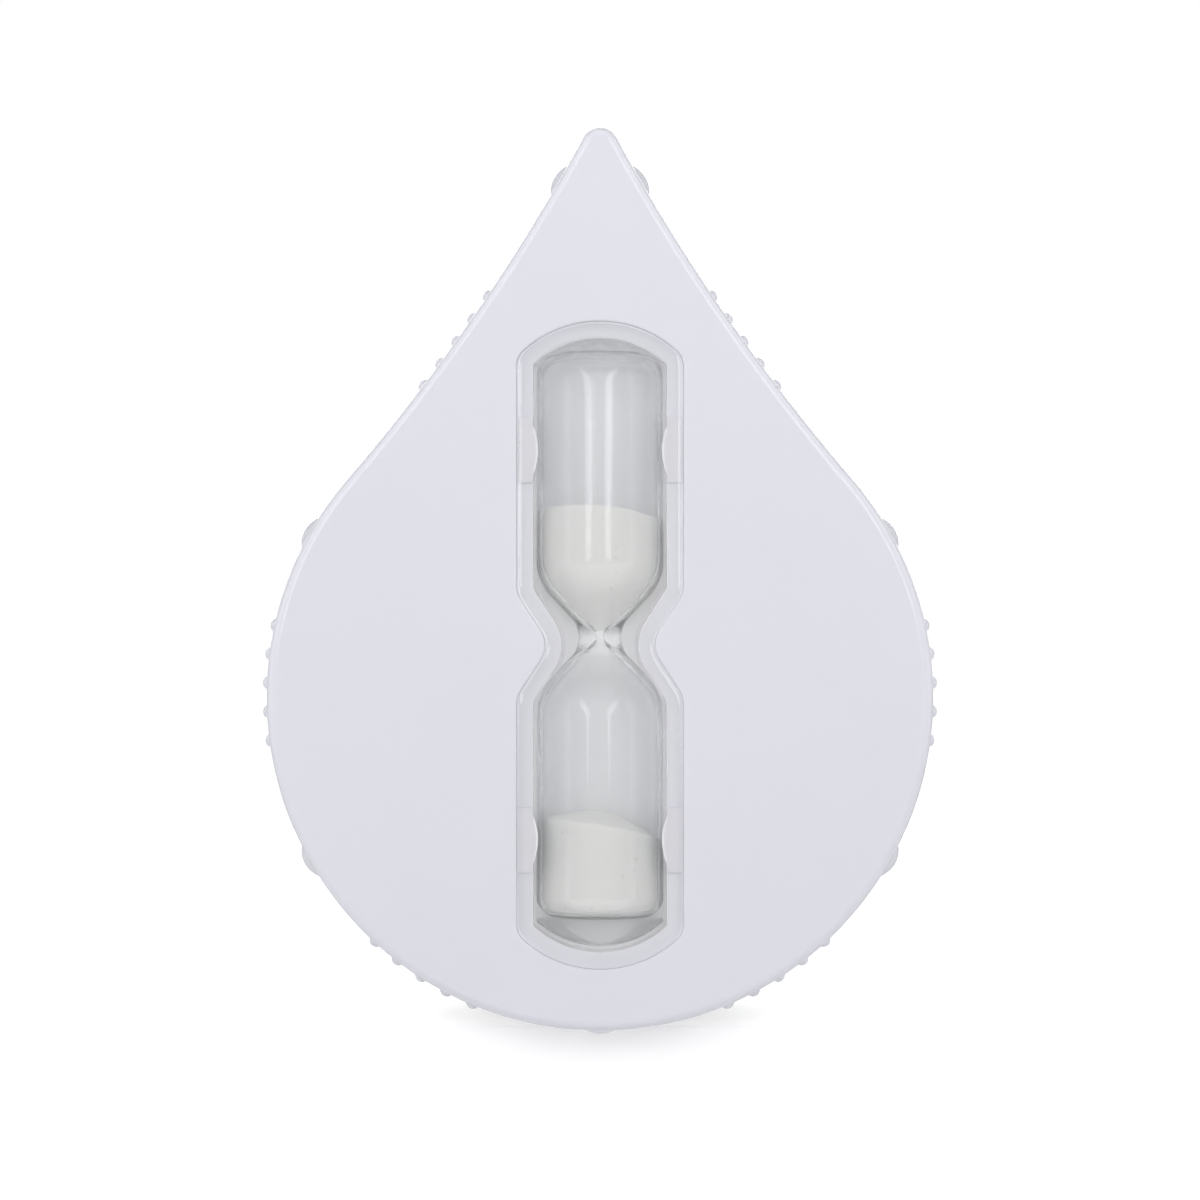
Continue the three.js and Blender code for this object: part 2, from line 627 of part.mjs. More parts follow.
function suctionCup() {
  const landInner = CUP_RADIUS - CUP_LAND;
  const shoulderTop = rearZ - FIT_GAP;
  const shoulderFoot = shoulderTop - CUP_SHOULDER;
  const hollow = dome(landInner, CUP_HOLLOW, 0, 2 * BEND_STEPS).reverse();
  const crown = new THREE.QuadraticBezierCurve(
    new THREE.Vector2(CUP_RADIUS, CUP_LIP),
    new THREE.Vector2(
      CUP_RADIUS - (CUP_RADIUS - CUP_SHOULDER_RADIUS) / 2 * CUP_CROWN,
      shoulderFoot - (shoulderFoot - CUP_LIP) / 2 * CUP_CROWN,
    ),
    new THREE.Vector2(CUP_SHOULDER_RADIUS, shoulderFoot),
  );
  const headZ = coverInnerZ + FIT_GAP;
  const pair = ({ x, y }) => [x, y];
  return turnedFromWall([
    ...hollow.map(pair),
    [CUP_RADIUS, 0],
    ...crown.getPoints(2 * BEND_STEPS).map(pair),
    [CUP_SHOULDER_RADIUS, shoulderTop],
    [STUD_RADIUS, shoulderTop],
    [STUD_RADIUS, headZ],
    [STUD_HEAD_RADIUS, headZ],
    ...dome(STUD_HEAD_RADIUS, STUD_HEAD_DOME, headZ + STUD_HEAD_EDGE, BEND_STEPS).map(pair),
  ], CUP_SIDES);
}

// Materials and assembly

function finish(color, roughness, metalness = 0, opacity = 1) {
  return new THREE.MeshStandardMaterial({ color, roughness, metalness, opacity, transparent: opacity < 1 });
}

function piece(name, form, material) {
  const { vertProperties, triVerts } = form.getMesh();
  const geometry = new THREE.BufferGeometry();
  geometry.setAttribute('position', new THREE.Float32BufferAttribute(vertProperties, 3));
  geometry.setIndex(Array.from(triVerts));
  geometry.computeVertexNormals();
  const mesh = new THREE.Mesh(geometry, material);
  mesh.name = name;
  return mesh;
}

const timer = new THREE.Group();
timer.add(piece('front_shell', frontShell(), finish(0xe1e1e9, 0.35)));
timer.add(piece('rear_cover', rearCover(), finish(0xe1e1e9, 0.4)));
timer.add(piece('window_lens', windowLens(), finish(0xf4f5f8, 0.05, 0, 0.25)));
timer.add(piece('glass_vial', glassVial(), finish(0xf0f4f4, 0.02, 0, 0.25)));
timer.add(piece('vial_stopper', vialStopper(), finish(0xe8ecec, 0.2, 0, 0.5)));
timer.add(piece('sand_upper', sandUpper(), finish(0xd8d8d4, 0.95)));
timer.add(piece('sand_lower', sandLower(), finish(0xd8d8d4, 0.95)));
for (const [place, centre] of Object.entries(screwPlaces)) {
  timer.add(piece(`cover_screw_${place}`, coverScrew(centre), finish(0xb9bbbd, 0.3, 1)));
}

const shower_timer = new THREE.Group();
shower_timer.add(timer);
shower_timer.add(piece('suction_cup', suctionCup(), finish(0xe6eaec, 0.15, 0, 0.5)));
shower_timer.rotation.x = Math.PI / 2;

export default shower_timer;
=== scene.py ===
# %% [markdown]
# # A drop-shaped shower timer
# The timer is a white moulded drop with a sand glass behind a clear window, and it turns on the stud of
# a suction cup. The construction model gives every piece its size and place, in plain facets. This lesson
# dresses it: each piece is made again as a fine mesh in the same place, with the finish of the real one.

# %% Load the frame
import math

import bmesh
import bpy
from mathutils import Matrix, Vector, noise


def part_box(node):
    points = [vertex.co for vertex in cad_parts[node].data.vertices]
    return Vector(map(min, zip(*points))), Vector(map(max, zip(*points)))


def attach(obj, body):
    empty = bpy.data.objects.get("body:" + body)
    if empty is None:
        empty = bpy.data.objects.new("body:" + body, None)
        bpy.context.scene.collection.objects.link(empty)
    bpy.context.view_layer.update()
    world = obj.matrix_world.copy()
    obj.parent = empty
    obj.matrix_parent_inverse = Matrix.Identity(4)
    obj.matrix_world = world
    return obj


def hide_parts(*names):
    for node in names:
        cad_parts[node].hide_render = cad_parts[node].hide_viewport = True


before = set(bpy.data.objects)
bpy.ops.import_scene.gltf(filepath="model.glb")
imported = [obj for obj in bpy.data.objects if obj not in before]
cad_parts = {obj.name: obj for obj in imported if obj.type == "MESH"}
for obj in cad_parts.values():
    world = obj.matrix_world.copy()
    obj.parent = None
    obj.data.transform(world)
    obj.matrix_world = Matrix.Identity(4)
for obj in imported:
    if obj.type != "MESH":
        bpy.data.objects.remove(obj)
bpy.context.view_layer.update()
MM = 0.001

# %% [markdown]
# Everything is drawn as its user sees it: millimetres to the right, up, and out of the wall. One function
# turns those three numbers into a point of the frame, where the front faces -Y. The main planes and the
# axis of the sand glass are read from the frame, so they can't drift away from it.

# %% Places from the frame
def place(x, up, out):
    return Vector((x, -out, up)) * MM


def reach(node, axis):
    low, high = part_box(node)
    return low[axis] / MM, high[axis] / MM


COVER_THICKNESS = 2.0
GLASS_END = 1.4
BASE_WALL = 0.7

front_out, rear_out = (-value for value in reach("front_shell", 1))
cover_out = rear_out + COVER_THICKNESS
vial_radius = reach("glass_vial", 0)[1]
vial_bottom, vial_top = reach("glass_vial", 2)
vial_middle = (vial_bottom + vial_top) / 2
vial_out = -sum(reach("glass_vial", 1)) / 2
floor_up = vial_bottom + GLASS_END
base_up = floor_up - BASE_WALL
print("front at", round(front_out, 2), "and rear at", round(rear_out, 2))
print("axis of the sand glass at", round(vial_out, 2))

# %% [markdown]
# Three small makers cover most of the shapes. A loft skins one ring of points to the next, as a moulded
# wall runs from its rear edge to its face. A turned solid spins a profile about an axis, as glass and cups
# are made. A block is a plain box for pockets and clips. All of them are closed, so that booleans can
# trust them.

# %% Makers of closed solids
MERGE_DISTANCE = 1e-7


def turn(degrees):
    return math.radians(degrees)


def spread(first, last, count):
    return [first + (last - first) * step / (count - 1) for step in range(count)]


def finished_mesh(name, bm):
    bmesh.ops.remove_doubles(bm, verts=bm.verts, dist=MERGE_DISTANCE)
    bmesh.ops.recalc_face_normals(bm, faces=bm.faces)
    mesh = bpy.data.meshes.new(name)
    bm.to_mesh(mesh)
    bm.free()
    piece = bpy.data.objects.new(name, mesh)
    bpy.context.scene.collection.objects.link(piece)
    return piece


def loft(name, rings):
    bm = bmesh.new()
    loops = [[bm.verts.new(point) for point in ring] for ring in rings]
    for low, high in zip(loops, loops[1:]):
        for here in range(len(low)):
            after = (here + 1) % len(low)
            bm.faces.new((low[here], low[after], high[after], high[here]))
    bm.faces.new(loops[0])
    bm.faces.new(loops[-1])
    return finished_mesh(name, bm)


def turned(name, profile, sides, at):
    bm = bmesh.new()
    rows = []
    for radius, height in profile:
        angles = [2 * math.pi * side / sides for side in range(sides if radius > 0 else 1)]
        points = [at(radius * math.cos(angle), radius * math.sin(angle), height) for angle in angles]
        rows.append([bm.verts.new(point) for point in points])
    for low, high in zip(rows, rows[1:]):
        for side in range(sides):
            corners = [low[side % len(low)], low[(side + 1) % len(low)]]
            corners += [high[(side + 1) % len(high)], high[side % len(high)]]
            corners = list(dict.fromkeys(corners))
            if len(corners) > 2:
                bm.faces.new(corners)
    return finished_mesh(name, bm)


def block(name, x_span, up_span, out_span):
    corners = [(0, 0), (1, 0), (1, 1), (0, 1)]
    rings = [[place(x_span[i], up_span[j], out) for i, j in corners] for out in out_span]
    return loft(name, rings)


def about_glass(x, front, up):
    return place(x, up, vial_out + front)


def about_wall(x, up):
    return lambda right, above, out: place(x + right, up + above, out)


# %% [markdown]
# Cuts and joins use Boolean modifiers with the Manifold solver, which is fast and keeps a solid closed.
# A piece is settled after them: its evaluated mesh becomes its own plain mesh and the modifiers go. The
# last step before a finish is smooth shading with sharp edges, and weighted normals keep the large flat
# faces flat beside their roundings.

# %% Joining, cutting and smoothing
def settle(piece):
    graph = bpy.context.evaluated_depsgraph_get()
    old = piece.data
    piece.data = bpy.data.meshes.new_from_object(piece.evaluated_get(graph), depsgraph=graph)
    piece.data.name = piece.name
    piece.modifiers.clear()
    bpy.data.meshes.remove(old)
    return piece


def combine(piece, operation, *tools):
    for tool in tools:
        change = piece.modifiers.new(operation.lower(), "BOOLEAN")
        change.operation = operation
        change.solver = "MANIFOLD"
        change.object = tool
        settle(piece)
        bpy.data.objects.remove(tool)
    return piece


def smooth(piece, sharp=32):
    piece.data.shade_smooth()
    piece.data.set_sharp_from_angle(angle=turn(sharp))
    normals = piece.modifiers.new("normals", "WEIGHTED_NORMAL")
    normals.keep_sharp = True
    return settle(piece)


def open_edges(piece):
    bm = bmesh.new()
    bm.from_mesh(piece.data)
    count = sum(not edge.is_manifold for edge in bm.edges)
    bm.free()
    return count


def tell(piece):
    corners = sum(len(polygon.vertices) - 2 for polygon in piece.data.polygons)
    print(piece.name, "has", corners, "triangles and", open_edges(piece), "open edges")


# %% [markdown]
# Every finish starts from a Principled shader on Object coordinates, which stay put on the piece in any
# pose. Small helpers save typing: one adds a node and links or sets its inputs by name, one starts a
# material, and the others stand for the kinds of node that come back again and again.

# %% Helpers for node trees
def feed(tree, socket, value):
    if isinstance(value, bpy.types.NodeSocket):
        tree.links.new(value, socket)
    else:
        socket.default_value = value


def add_node(tree, kind, inputs=None, **settings):
    node = tree.nodes.new(kind)
    for name, value in settings.items():
        setattr(node, name, value)
    for name, value in (inputs or {}).items():
        feed(tree, node.inputs[name], value)
    return node


def new_finish(name, **constants):
    material = bpy.data.materials.new(name)
    material.use_nodes = True
    shader = material.node_tree.nodes["Principled BSDF"]
    for socket, value in constants.items():
        shader.inputs[socket.replace("_", " ")].default_value = value
    return material, material.node_tree, shader


def maths(tree, operation, *values):
    node = add_node(tree, "ShaderNodeMath", operation=operation)
    for socket, value in zip(node.inputs, values):
        feed(tree, socket, value)
    return node.outputs[0]


def vectors(tree, operation, *values, scale=None, output="Vector"):
    node = add_node(tree, "ShaderNodeVectorMath", operation=operation)
    for socket, value in zip(node.inputs, values):
        feed(tree, socket, value)
    if scale is not None:
        feed(tree, node.inputs["Scale"], scale)
    return node.outputs[output]


def axes_of(tree, vector):
    return add_node(tree, "ShaderNodeSeparateXYZ", {"Vector": vector}).outputs


def object_place(tree):
    return add_node(tree, "ShaderNodeTexCoord").outputs["Object"]


# %% [markdown]
# Nothing real has quite the same colour and gloss all over. Noise, moved into a span of values, varies both
# a little, and a bump gives the surface its grain. A Mix node has sockets for every kind of value, so the
# ones for colours are picked by number.

# %% Helpers for uneven surfaces
NOISE_SPAN = (0.3, 0.7)
MIX_SHARE, MIX_FIRST, MIX_SECOND, MIX_RESULT = 0, 6, 7, 2


def object_noise(tree, scale, detail=2.0):
    inputs = {"Vector": object_place(tree), "Scale": scale, "Detail": detail, "Roughness": 0.5}
    return add_node(tree, "ShaderNodeTexNoise", inputs).outputs["Fac"]


def map_range(tree, value, span, levels, **settings):
    inputs = {"Value": value, "From Min": span[0], "From Max": span[1]}
    inputs.update({"To Min": levels[0], "To Max": levels[1]})
    return add_node(tree, "ShaderNodeMapRange", inputs, **settings).outputs["Result"]


def between(tree, value, low, high):
    return map_range(tree, value, NOISE_SPAN, (low, high))


def soft_step(tree, value, span, levels):
    return map_range(tree, value, span, levels, interpolation_type="SMOOTHSTEP")


def opaque(colour):
    return colour if isinstance(colour, bpy.types.NodeSocket) else (*colour, 1)


def blend_colours(tree, share, first, second):
    mix = add_node(tree, "ShaderNodeMix", data_type="RGBA")
    feed(tree, mix.inputs[MIX_SHARE], share)
    feed(tree, mix.inputs[MIX_FIRST], opaque(first))
    feed(tree, mix.inputs[MIX_SECOND], opaque(second))
    return mix.outputs[MIX_RESULT]


def bump(tree, shader, height, distance, strength=1.0):
    inputs = {"Height": height, "Distance": distance, "Strength": strength}
    feed(tree, shader.inputs["Normal"], add_node(tree, "ShaderNodeBump", inputs).outputs["Normal"])


# %% [markdown]
# The housing is white ABS with a faint violet cast, moulded in a polished tool. Its gloss draws a light line
# along the rounding of the face, and slight clouds in colour and gloss with a very fine grain keep it from
# looking like enamel. Light reaches the recess behind the clear cover from the front only, so one white all
# over would look too dark deep in it. The recess therefore has light and shade painted into its colour,
# matched to the photograph: painted shade on the ledge under the cover, painted light in the trough and a
# little less on its shelf, and on the bed of the glass painted shade at the back that turns to painted light
# towards the front, beside the glass. Boxes of Object coordinates tell them apart. The rear cover comes from
# a coarser tool.

# %% White mouldings
CLOUD_SCALE = 45
GLOSS_SCALE = 700
WINDOW_REACH = (10.65, 41.3)
# Painted shade on the ledge; painted light in the trough and, a little less, on its shelf.
LEDGE_LIMIT, LEDGE_PAINTED_SHADE = 28.1, (0.76, 0.76, 0.81)
TROUGH_LIMIT, TROUGH_PAINTED_LIGHT = 27.8, (0.95, 0.95, 0.965)
SHELF_LIMIT, SHELF_PAINTED_LIGHT = 20.4, (0.86, 0.86, 0.89)
BED_LIMIT = 20.1
# Painted shade at the back of the bed and painted light at its front, blended across these depths.
BED_BACK_PAINTED_SHADE, BED_FRONT_PAINTED_LIGHT = (0.72, 0.72, 0.765), (0.97, 0.97, 0.985)
BED_SHADE_FADE = (11.3, 15.5)


def white_moulding(name, pale, deep, gloss, grain_size, grain_height):
    material, tree, shader = new_finish(name, IOR=1.53)
    cloud = between(tree, object_noise(tree, CLOUD_SCALE), 0, 1)
    feed(tree, shader.inputs["Base Color"], blend_colours(tree, cloud, pale, deep))
    feed(tree, shader.inputs["Roughness"], between(tree, object_noise(tree, GLOSS_SCALE, detail=3), *gloss))
    bump(tree, shader, object_noise(tree, 1 / (grain_size * MM), detail=3), grain_height * MM)
    return material


# Paints light and shade into the colour: inside the window and behind the given depth, the given colour
# replaces the white.
def paint_light_and_shade_behind(material, out, colour):
    tree = material.node_tree
    base = tree.nodes["Principled BSDF"].inputs["Base Color"]
    outside = base.links[0].from_socket
    away = axes_of(tree, vectors(tree, "ABSOLUTE", object_place(tree)))
    inside = 1.0
    for axis, limit in zip(away, (WINDOW_REACH[0], out, WINDOW_REACH[1])):
        inside = maths(tree, "MULTIPLY", inside, maths(tree, "LESS_THAN", axis, limit * MM))
    feed(tree, base, blend_colours(tree, inside, outside, colour))


# The bed's painted shade at the back turns to painted light towards the front.
def bed_painted_shade_and_light(tree):
    depth = axes_of(tree, object_place(tree))["Y"]
    share = soft_step(tree, depth, [-out * MM for out in BED_SHADE_FADE], (0.0, 1.0))
    return blend_colours(tree, share, BED_BACK_PAINTED_SHADE, BED_FRONT_PAINTED_LIGHT)


housing_white = white_moulding(
    "white housing", pale=(0.82, 0.82, 0.893), deep=(0.81, 0.81, 0.884), gloss=(0.13, 0.19),
    grain_size=0.16, grain_height=0.002)
# The recess gets its painted light and shade, one box at a time.
paint_light_and_shade_behind(housing_white, LEDGE_LIMIT, LEDGE_PAINTED_SHADE)
paint_light_and_shade_behind(housing_white, TROUGH_LIMIT, TROUGH_PAINTED_LIGHT)
paint_light_and_shade_behind(housing_white, SHELF_LIMIT, SHELF_PAINTED_LIGHT)
paint_light_and_shade_behind(housing_white, BED_LIMIT, bed_painted_shade_and_light(housing_white.node_tree))
cover_white = white_moulding(
    "white cover", pale=(0.8, 0.8, 0.855), deep=(0.785, 0.785, 0.84), gloss=(0.5, 0.6),
    grain_size=0.3, grain_height=0.02)
print("finishes:", housing_white.name, "and", cover_white.name)

# %% [markdown]
# Clear plastic and glass bend what is seen through them, so both are true refracting shaders on closed
# solids. Lamps can't see through a refracting face, though, and the sand behind would go dark. The usual
# cure is to let shadow rays and diffuse bounces pass straight through as if the face were a plain filter.
# The glass in the photograph hardly shows its own outline. An index of refraction lower than that of real
# glass gives the same here, a thin coat brings back the gloss which the low index takes away, and a little
# haze softens what is left. The neck was melted, so it is faintly rippled. The cover's clear legs would carry
# light from the front down to their ends, which the straight pass can't do, so they get a pale, nearly opaque
# finish as painted light, and the slanted rims of their pads get a brighter white as a painted highlight.

# %% Clear finishes
GLASS_CLEARNESS = 0.88
GLASS_COAT = 0.3
NECK_HAZE = 0.1
NECK_ZONE = (1.5, 3.5)
NECK_RIPPLE = 0.6
RIPPLE_DEPTH = NECK_RIPPLE / 6


def clear_finish(name, colour, ior, roughness, passes, clearness=1.0):
    material, tree, shader = new_finish(
        name, Base_Color=(*colour, 1), IOR=ior, Roughness=roughness, Transmission_Weight=clearness)
    path = add_node(tree, "ShaderNodeLightPath").outputs
    unseen = maths(tree, "MAXIMUM", path["Is Shadow Ray"], path["Is Diffuse Ray"])
    straight = add_node(tree, "ShaderNodeBsdfTransparent", {"Color": (*passes, 1)})
    mix = add_node(tree, "ShaderNodeMixShader")
    feed(tree, mix.inputs[0], unseen)
    feed(tree, mix.inputs[1], shader.outputs["BSDF"])
    feed(tree, mix.inputs[2], straight.outputs["BSDF"])
    feed(tree, tree.nodes["Material Output"].inputs["Surface"], mix.outputs["Shader"])
    return material


def ripple_neck(material):
    tree = material.node_tree
    shader = tree.nodes["Principled BSDF"]
    height = maths(tree, "SUBTRACT", axes_of(tree, object_place(tree))["Z"], vial_middle * MM)
    near = soft_step(tree, maths(tree, "ABSOLUTE", height), [up * MM for up in NECK_ZONE], (1.0, 0.0))
    feed(tree, shader.inputs["Roughness"], maths(tree, "MULTIPLY", near, NECK_HAZE))
    waves = object_noise(tree, 1 / (NECK_RIPPLE * MM), detail=1)
    bump(tree, shader, maths(tree, "MULTIPLY", near, waves), RIPPLE_DEPTH * MM)


window_clear = clear_finish(
    "clear window", (0.985, 0.985, 0.99), ior=1.57, roughness=0.0, passes=(0.995, 0.995, 0.995))
vial_clear = clear_finish(
    "vial glass", (0.99, 0.995, 0.993), ior=1.24, roughness=0.0, passes=(0.995, 0.997, 0.996),
    clearness=GLASS_CLEARNESS)
vial_shader = vial_clear.node_tree.nodes["Principled BSDF"]
vial_shader.inputs["Coat Weight"].default_value = GLASS_COAT
vial_shader.inputs["Coat Roughness"].default_value = 0.0
ripple_neck(vial_clear)
stopper_clear = clear_finish(
    "stopper sealant", (0.93, 0.95, 0.94), ior=1.45, roughness=0.12, passes=(0.9, 0.92, 0.91))
vinyl_clear = clear_finish(
    "clear vinyl", (0.93, 0.945, 0.95), ior=1.48, roughness=0.09, passes=(0.93, 0.94, 0.945))
# Painted light: the legs are pale and nearly opaque in place of the light that clear legs would carry.
legs_painted_light, _, _ = new_finish(
    "frosted legs", Base_Color=(0.82, 0.82, 0.86, 1), Roughness=0.45, IOR=1.57, Transmission_Weight=0.12)
# Painted highlight: a brighter white on the slanted rims of the pads.
rim_painted_highlight, _, _ = new_finish("bright rims", Base_Color=(0.93, 0.93, 0.95, 1), Roughness=0.3)
print("clear finishes:", [m.name for m in (window_clear, vial_clear, stopper_clear, vinyl_clear)])

# %% [markdown]
# The sand is fine and off-white. Seen close, each grain has its own shade, and one in some hundreds is
# dark. Voronoi cells of the size of a grain give both: their random colour tints the grain, and the
# cells past a high threshold are the dark specks. The screws are plain steel, with an uneven dull shine.

# %% Sand and steel
GRAIN_SIZE = 0.18
GRAIN_RELIEF = 0.03
GRAIN_STRENGTH = 0.5
SPECK_LIMIT = 0.9965
STEEL_GRAIN = 0.004
STEEL_GRAIN_SCALE = 4000
STEEL_GLOSS = (0.22, 0.42)
STEEL_GLOSS_SCALE = 1500


def sand_finish(name, pale, deep, speck):
    material, tree, shader = new_finish(
        name, Roughness=0.95, IOR=1.45, Subsurface_Weight=0.5, Subsurface_Scale=1.5 * MM,
        Subsurface_Radius=(1.0, 1.0, 0.9))
    inputs = {"Vector": object_place(tree), "Scale": 1 / (GRAIN_SIZE * MM)}
    grains = add_node(tree, "ShaderNodeTexVoronoi", inputs).outputs
    shade = add_node(tree, "ShaderNodeSeparateColor", {"Color": grains["Color"]}).outputs
    body = blend_colours(tree, shade["Red"], pale, deep)
    rare = maths(tree, "GREATER_THAN", shade["Green"], SPECK_LIMIT)
    feed(tree, shader.inputs["Base Color"], blend_colours(tree, rare, body, speck))
    bump(tree, shader, grains["Distance"], GRAIN_RELIEF * MM, GRAIN_STRENGTH)
    return material


def steel_finish(name):
    material, tree, shader = new_finish(name, Base_Color=(0.62, 0.62, 0.63, 1), Metallic=1.0)
    gloss = between(tree, object_noise(tree, STEEL_GLOSS_SCALE, detail=4), *STEEL_GLOSS)
    feed(tree, shader.inputs["Roughness"], gloss)
    bump(tree, shader, object_noise(tree, STEEL_GRAIN_SCALE), STEEL_GRAIN * MM)
    return material


sand_pale = sand_finish(
    "off-white sand", pale=(0.775, 0.775, 0.75), deep=(0.715, 0.715, 0.69), speck=(0.3, 0.29, 0.27))
screw_steel = steel_finish("screw steel")
print("finishes:", sand_pale.name, "and", screw_steel.name)

# %% [markdown]
# The outline of the drop is five arcs that run into one another: half of the tip, a hollow flank, the
# round body, the other flank and the rest of the tip. An arc is described by the direction of its outward
# normal, so a point, its normal and a parallel outline further in all come from one formula. A hollow arc
# simply has a negative radius.

# %% The outline of the drop
ROUND_RADIUS = 42.5
ROUND_UP = -6.6
TIP_RADIUS = 2.5
TIP_UP = 63.4
FLANK_RADIUS = 250.0

rise = TIP_UP - ROUND_UP
spare = (ROUND_RADIUS - TIP_RADIUS) * (2 * FLANK_RADIUS + ROUND_RADIUS + TIP_RADIUS) / rise
flank_up = (spare + TIP_UP + ROUND_UP) / 2
flank_x = math.sqrt((FLANK_RADIUS + ROUND_RADIUS) ** 2 - (flank_up - ROUND_UP) ** 2)
round_lean = math.atan2(flank_up - ROUND_UP, flank_x)
tip_lean = math.atan2(flank_up - TIP_UP, flank_x)
ARCS = (
    (0, TIP_UP, TIP_RADIUS, turn(90), turn(180) - tip_lean),
    (-flank_x, flank_up, -FLANK_RADIUS, turn(180) - tip_lean, turn(180) - round_lean),
    (0, ROUND_UP, ROUND_RADIUS, turn(180) - round_lean, turn(360) + round_lean),
    (flank_x, flank_up, -FLANK_RADIUS, turn(360) + round_lean, turn(360) + tip_lean),
    (0, TIP_UP, TIP_RADIUS, turn(360) + tip_lean, turn(450)),
)
ARC_LENGTHS = [abs(radius * (last - first)) for _, _, radius, first, last in ARCS]
outline_length = sum(ARC_LENGTHS)


def outline_point(along, inset=0.0):
    for (x, up, radius, first, last), length in zip(ARCS, ARC_LENGTHS):
        if along <= length:
            break
        along -= length
    angle = first + (last - first) * min(along / length, 1)
    return x + (radius - inset) * math.cos(angle), up + (radius - inset) * math.sin(angle)


def drop_ring(stations, inset, out):
    return [place(*outline_point(along, inset), out) for along in stations]


print("the outline is", round(outline_length, 1), "mm long")

# %% [markdown]
# Grip ribs stand on the side wall in groups, so that wet fingers can turn the drop: fives of small ribs,
# single broad ones between them, and one broad rib as a foot. They are placed by their distance along the
# outline from the foot, the same on both sides.

# %% Places of the ribs
SMALL_RIB = {"Radius": 0.9, "Proud": 0.555}
BROAD_RIB = {"Radius": 3.65, "Proud": 0.88}
FOOT_RIB = {"Radius": 3.65, "Proud": 0.6}
RIBS_IN_GROUP = 5
ROUND_PITCH = ROUND_RADIUS * turn(5)
FLANK_PITCH = 3.5
GROUP_ANGLES = (2.5, -57.4)
BROAD_ANGLES = (29.5, -29.5)
FLANK_GROUP_UP = 38.8
FLANK_BROAD_UP = 59.3

foot_along = outline_length / 2
flank_start = ROUND_RADIUS * (turn(90) + round_lean)


def on_round(degrees):
    return ROUND_RADIUS * turn(90 + degrees)


def on_flank(up):
    return flank_start + FLANK_RADIUS * (round_lean - math.asin((flank_up - up) / FLANK_RADIUS))


rib_groups = [(foot_along, 1, 1.0, FOOT_RIB)]
for side in (-1, 1):
    for degrees in GROUP_ANGLES:
        rib_groups.append((foot_along + side * on_round(degrees), RIBS_IN_GROUP, ROUND_PITCH, SMALL_RIB))
    for degrees in BROAD_ANGLES:
        rib_groups.append((foot_along + side * on_round(degrees), 1, 1.0, BROAD_RIB))
    rib_groups.append((foot_along + side * on_flank(FLANK_GROUP_UP), RIBS_IN_GROUP, FLANK_PITCH, SMALL_RIB))
    rib_groups.append((foot_along + side * on_flank(FLANK_BROAD_UP), 1, 1.0, BROAD_RIB))
print(len(rib_groups), "groups of ribs")

# %% [markdown]
# The wall is skinned over columns of points. They crowd together where a rib will rise and round the tip, and
# spread out on the plain stretches, so that the fine forms get most of the mesh. The hollow inside has no
# ribs, and even columns are enough for it.

# %% Columns of the wall
RIB_ROOM = 1.35
COLUMNS_ON_RIB = 31
PLAIN_STEP = 0.9
PLAIN_COLUMNS = 420
TIP_STEP = 0.22


def rib_spans():
    for middle, count, pitch, rib in rib_groups:
        half = RIB_ROOM * math.sqrt(rib["Radius"] ** 2 - (rib["Radius"] - rib["Proud"]) ** 2)
        for number in range(count):
            centre = middle + (number - (count - 1) / 2) * pitch
            yield centre - half, centre + half


def wall_stations():
    ribs = sorted(rib_spans())
    tip_ends = (ARC_LENGTHS[0], outline_length - ARC_LENGTHS[-1])
    tip_columns = math.ceil(tip_ends[0] / TIP_STEP)
    plain = spread(0, tip_ends[0], tip_columns)
    plain += spread(*tip_ends, math.ceil((tip_ends[1] - tip_ends[0]) / PLAIN_STEP))[1:]
    plain += spread(tip_ends[1], outline_length, tip_columns)[1:-1]
    kept = [along for along in plain if not any(low < along < high for low, high in ribs)]
    crowded = [along for span in ribs for along in spread(*span, COLUMNS_ON_RIB)]
    return sorted(kept + crowded)


stations = wall_stations()
plain_stations = spread(0, outline_length, PLAIN_COLUMNS)[:-1]
print(len(list(rib_spans())), "ribs on", len(stations), "columns of the wall")

# %% [markdown]
# The outside of the housing is one loft: a rear edge, a wall that leans in a little so that the moulding
# leaves its tool, and a rounding into the flat face. The rounding shows as a pale band round the drop, and
# with so little lean the small ribs hardly break its outline. Rows crowd together near the front, where the
# ribs end in domes. Each point also keeps its distance along the outline, for the ribs to find.

# %% The plain housing wall
SIDE_DRAFT = 0.06
FRONT_FILLET = 1.24
REAR_EDGE = 0.2
EDGE_BULGE = 0.3
RIB_SETBACK = 2.4
PLAIN_ROWS = 4
PLAIN_END = 3.2
DOME_SPAN = (2.9, -0.3)
DOME_ROWS = 22
FILLET_ROWS = 13

wall_top = front_out - FRONT_FILLET
rib_end = front_out - RIB_SETBACK


def draft_at(out):
    return SIDE_DRAFT * (out - rear_out) / (wall_top - rear_out)


rows = [(rear_out, REAR_EDGE), (rear_out + EDGE_BULGE * REAR_EDGE, EDGE_BULGE * REAR_EDGE)]
wall_outs = spread(rear_out + REAR_EDGE, rib_end - PLAIN_END, PLAIN_ROWS)
wall_outs += spread(rib_end - DOME_SPAN[0], rib_end - DOME_SPAN[1], DOME_ROWS)
rows += [(out, draft_at(out)) for out in wall_outs]
for lean in spread(0, math.pi / 2, FILLET_ROWS):
    inset = SIDE_DRAFT + FRONT_FILLET * (1 - math.cos(lean))
    rows.append((wall_top + FRONT_FILLET * math.sin(lean), inset))

front_shell = loft("front_shell_moulding", [drop_ring(stations, inset, out) for out, inset in rows])
along = front_shell.data.attributes.new("along", "FLOAT", "POINT")
along.data.foreach_set("value", [station * MM for _ in rows for station in stations])
tell(front_shell)

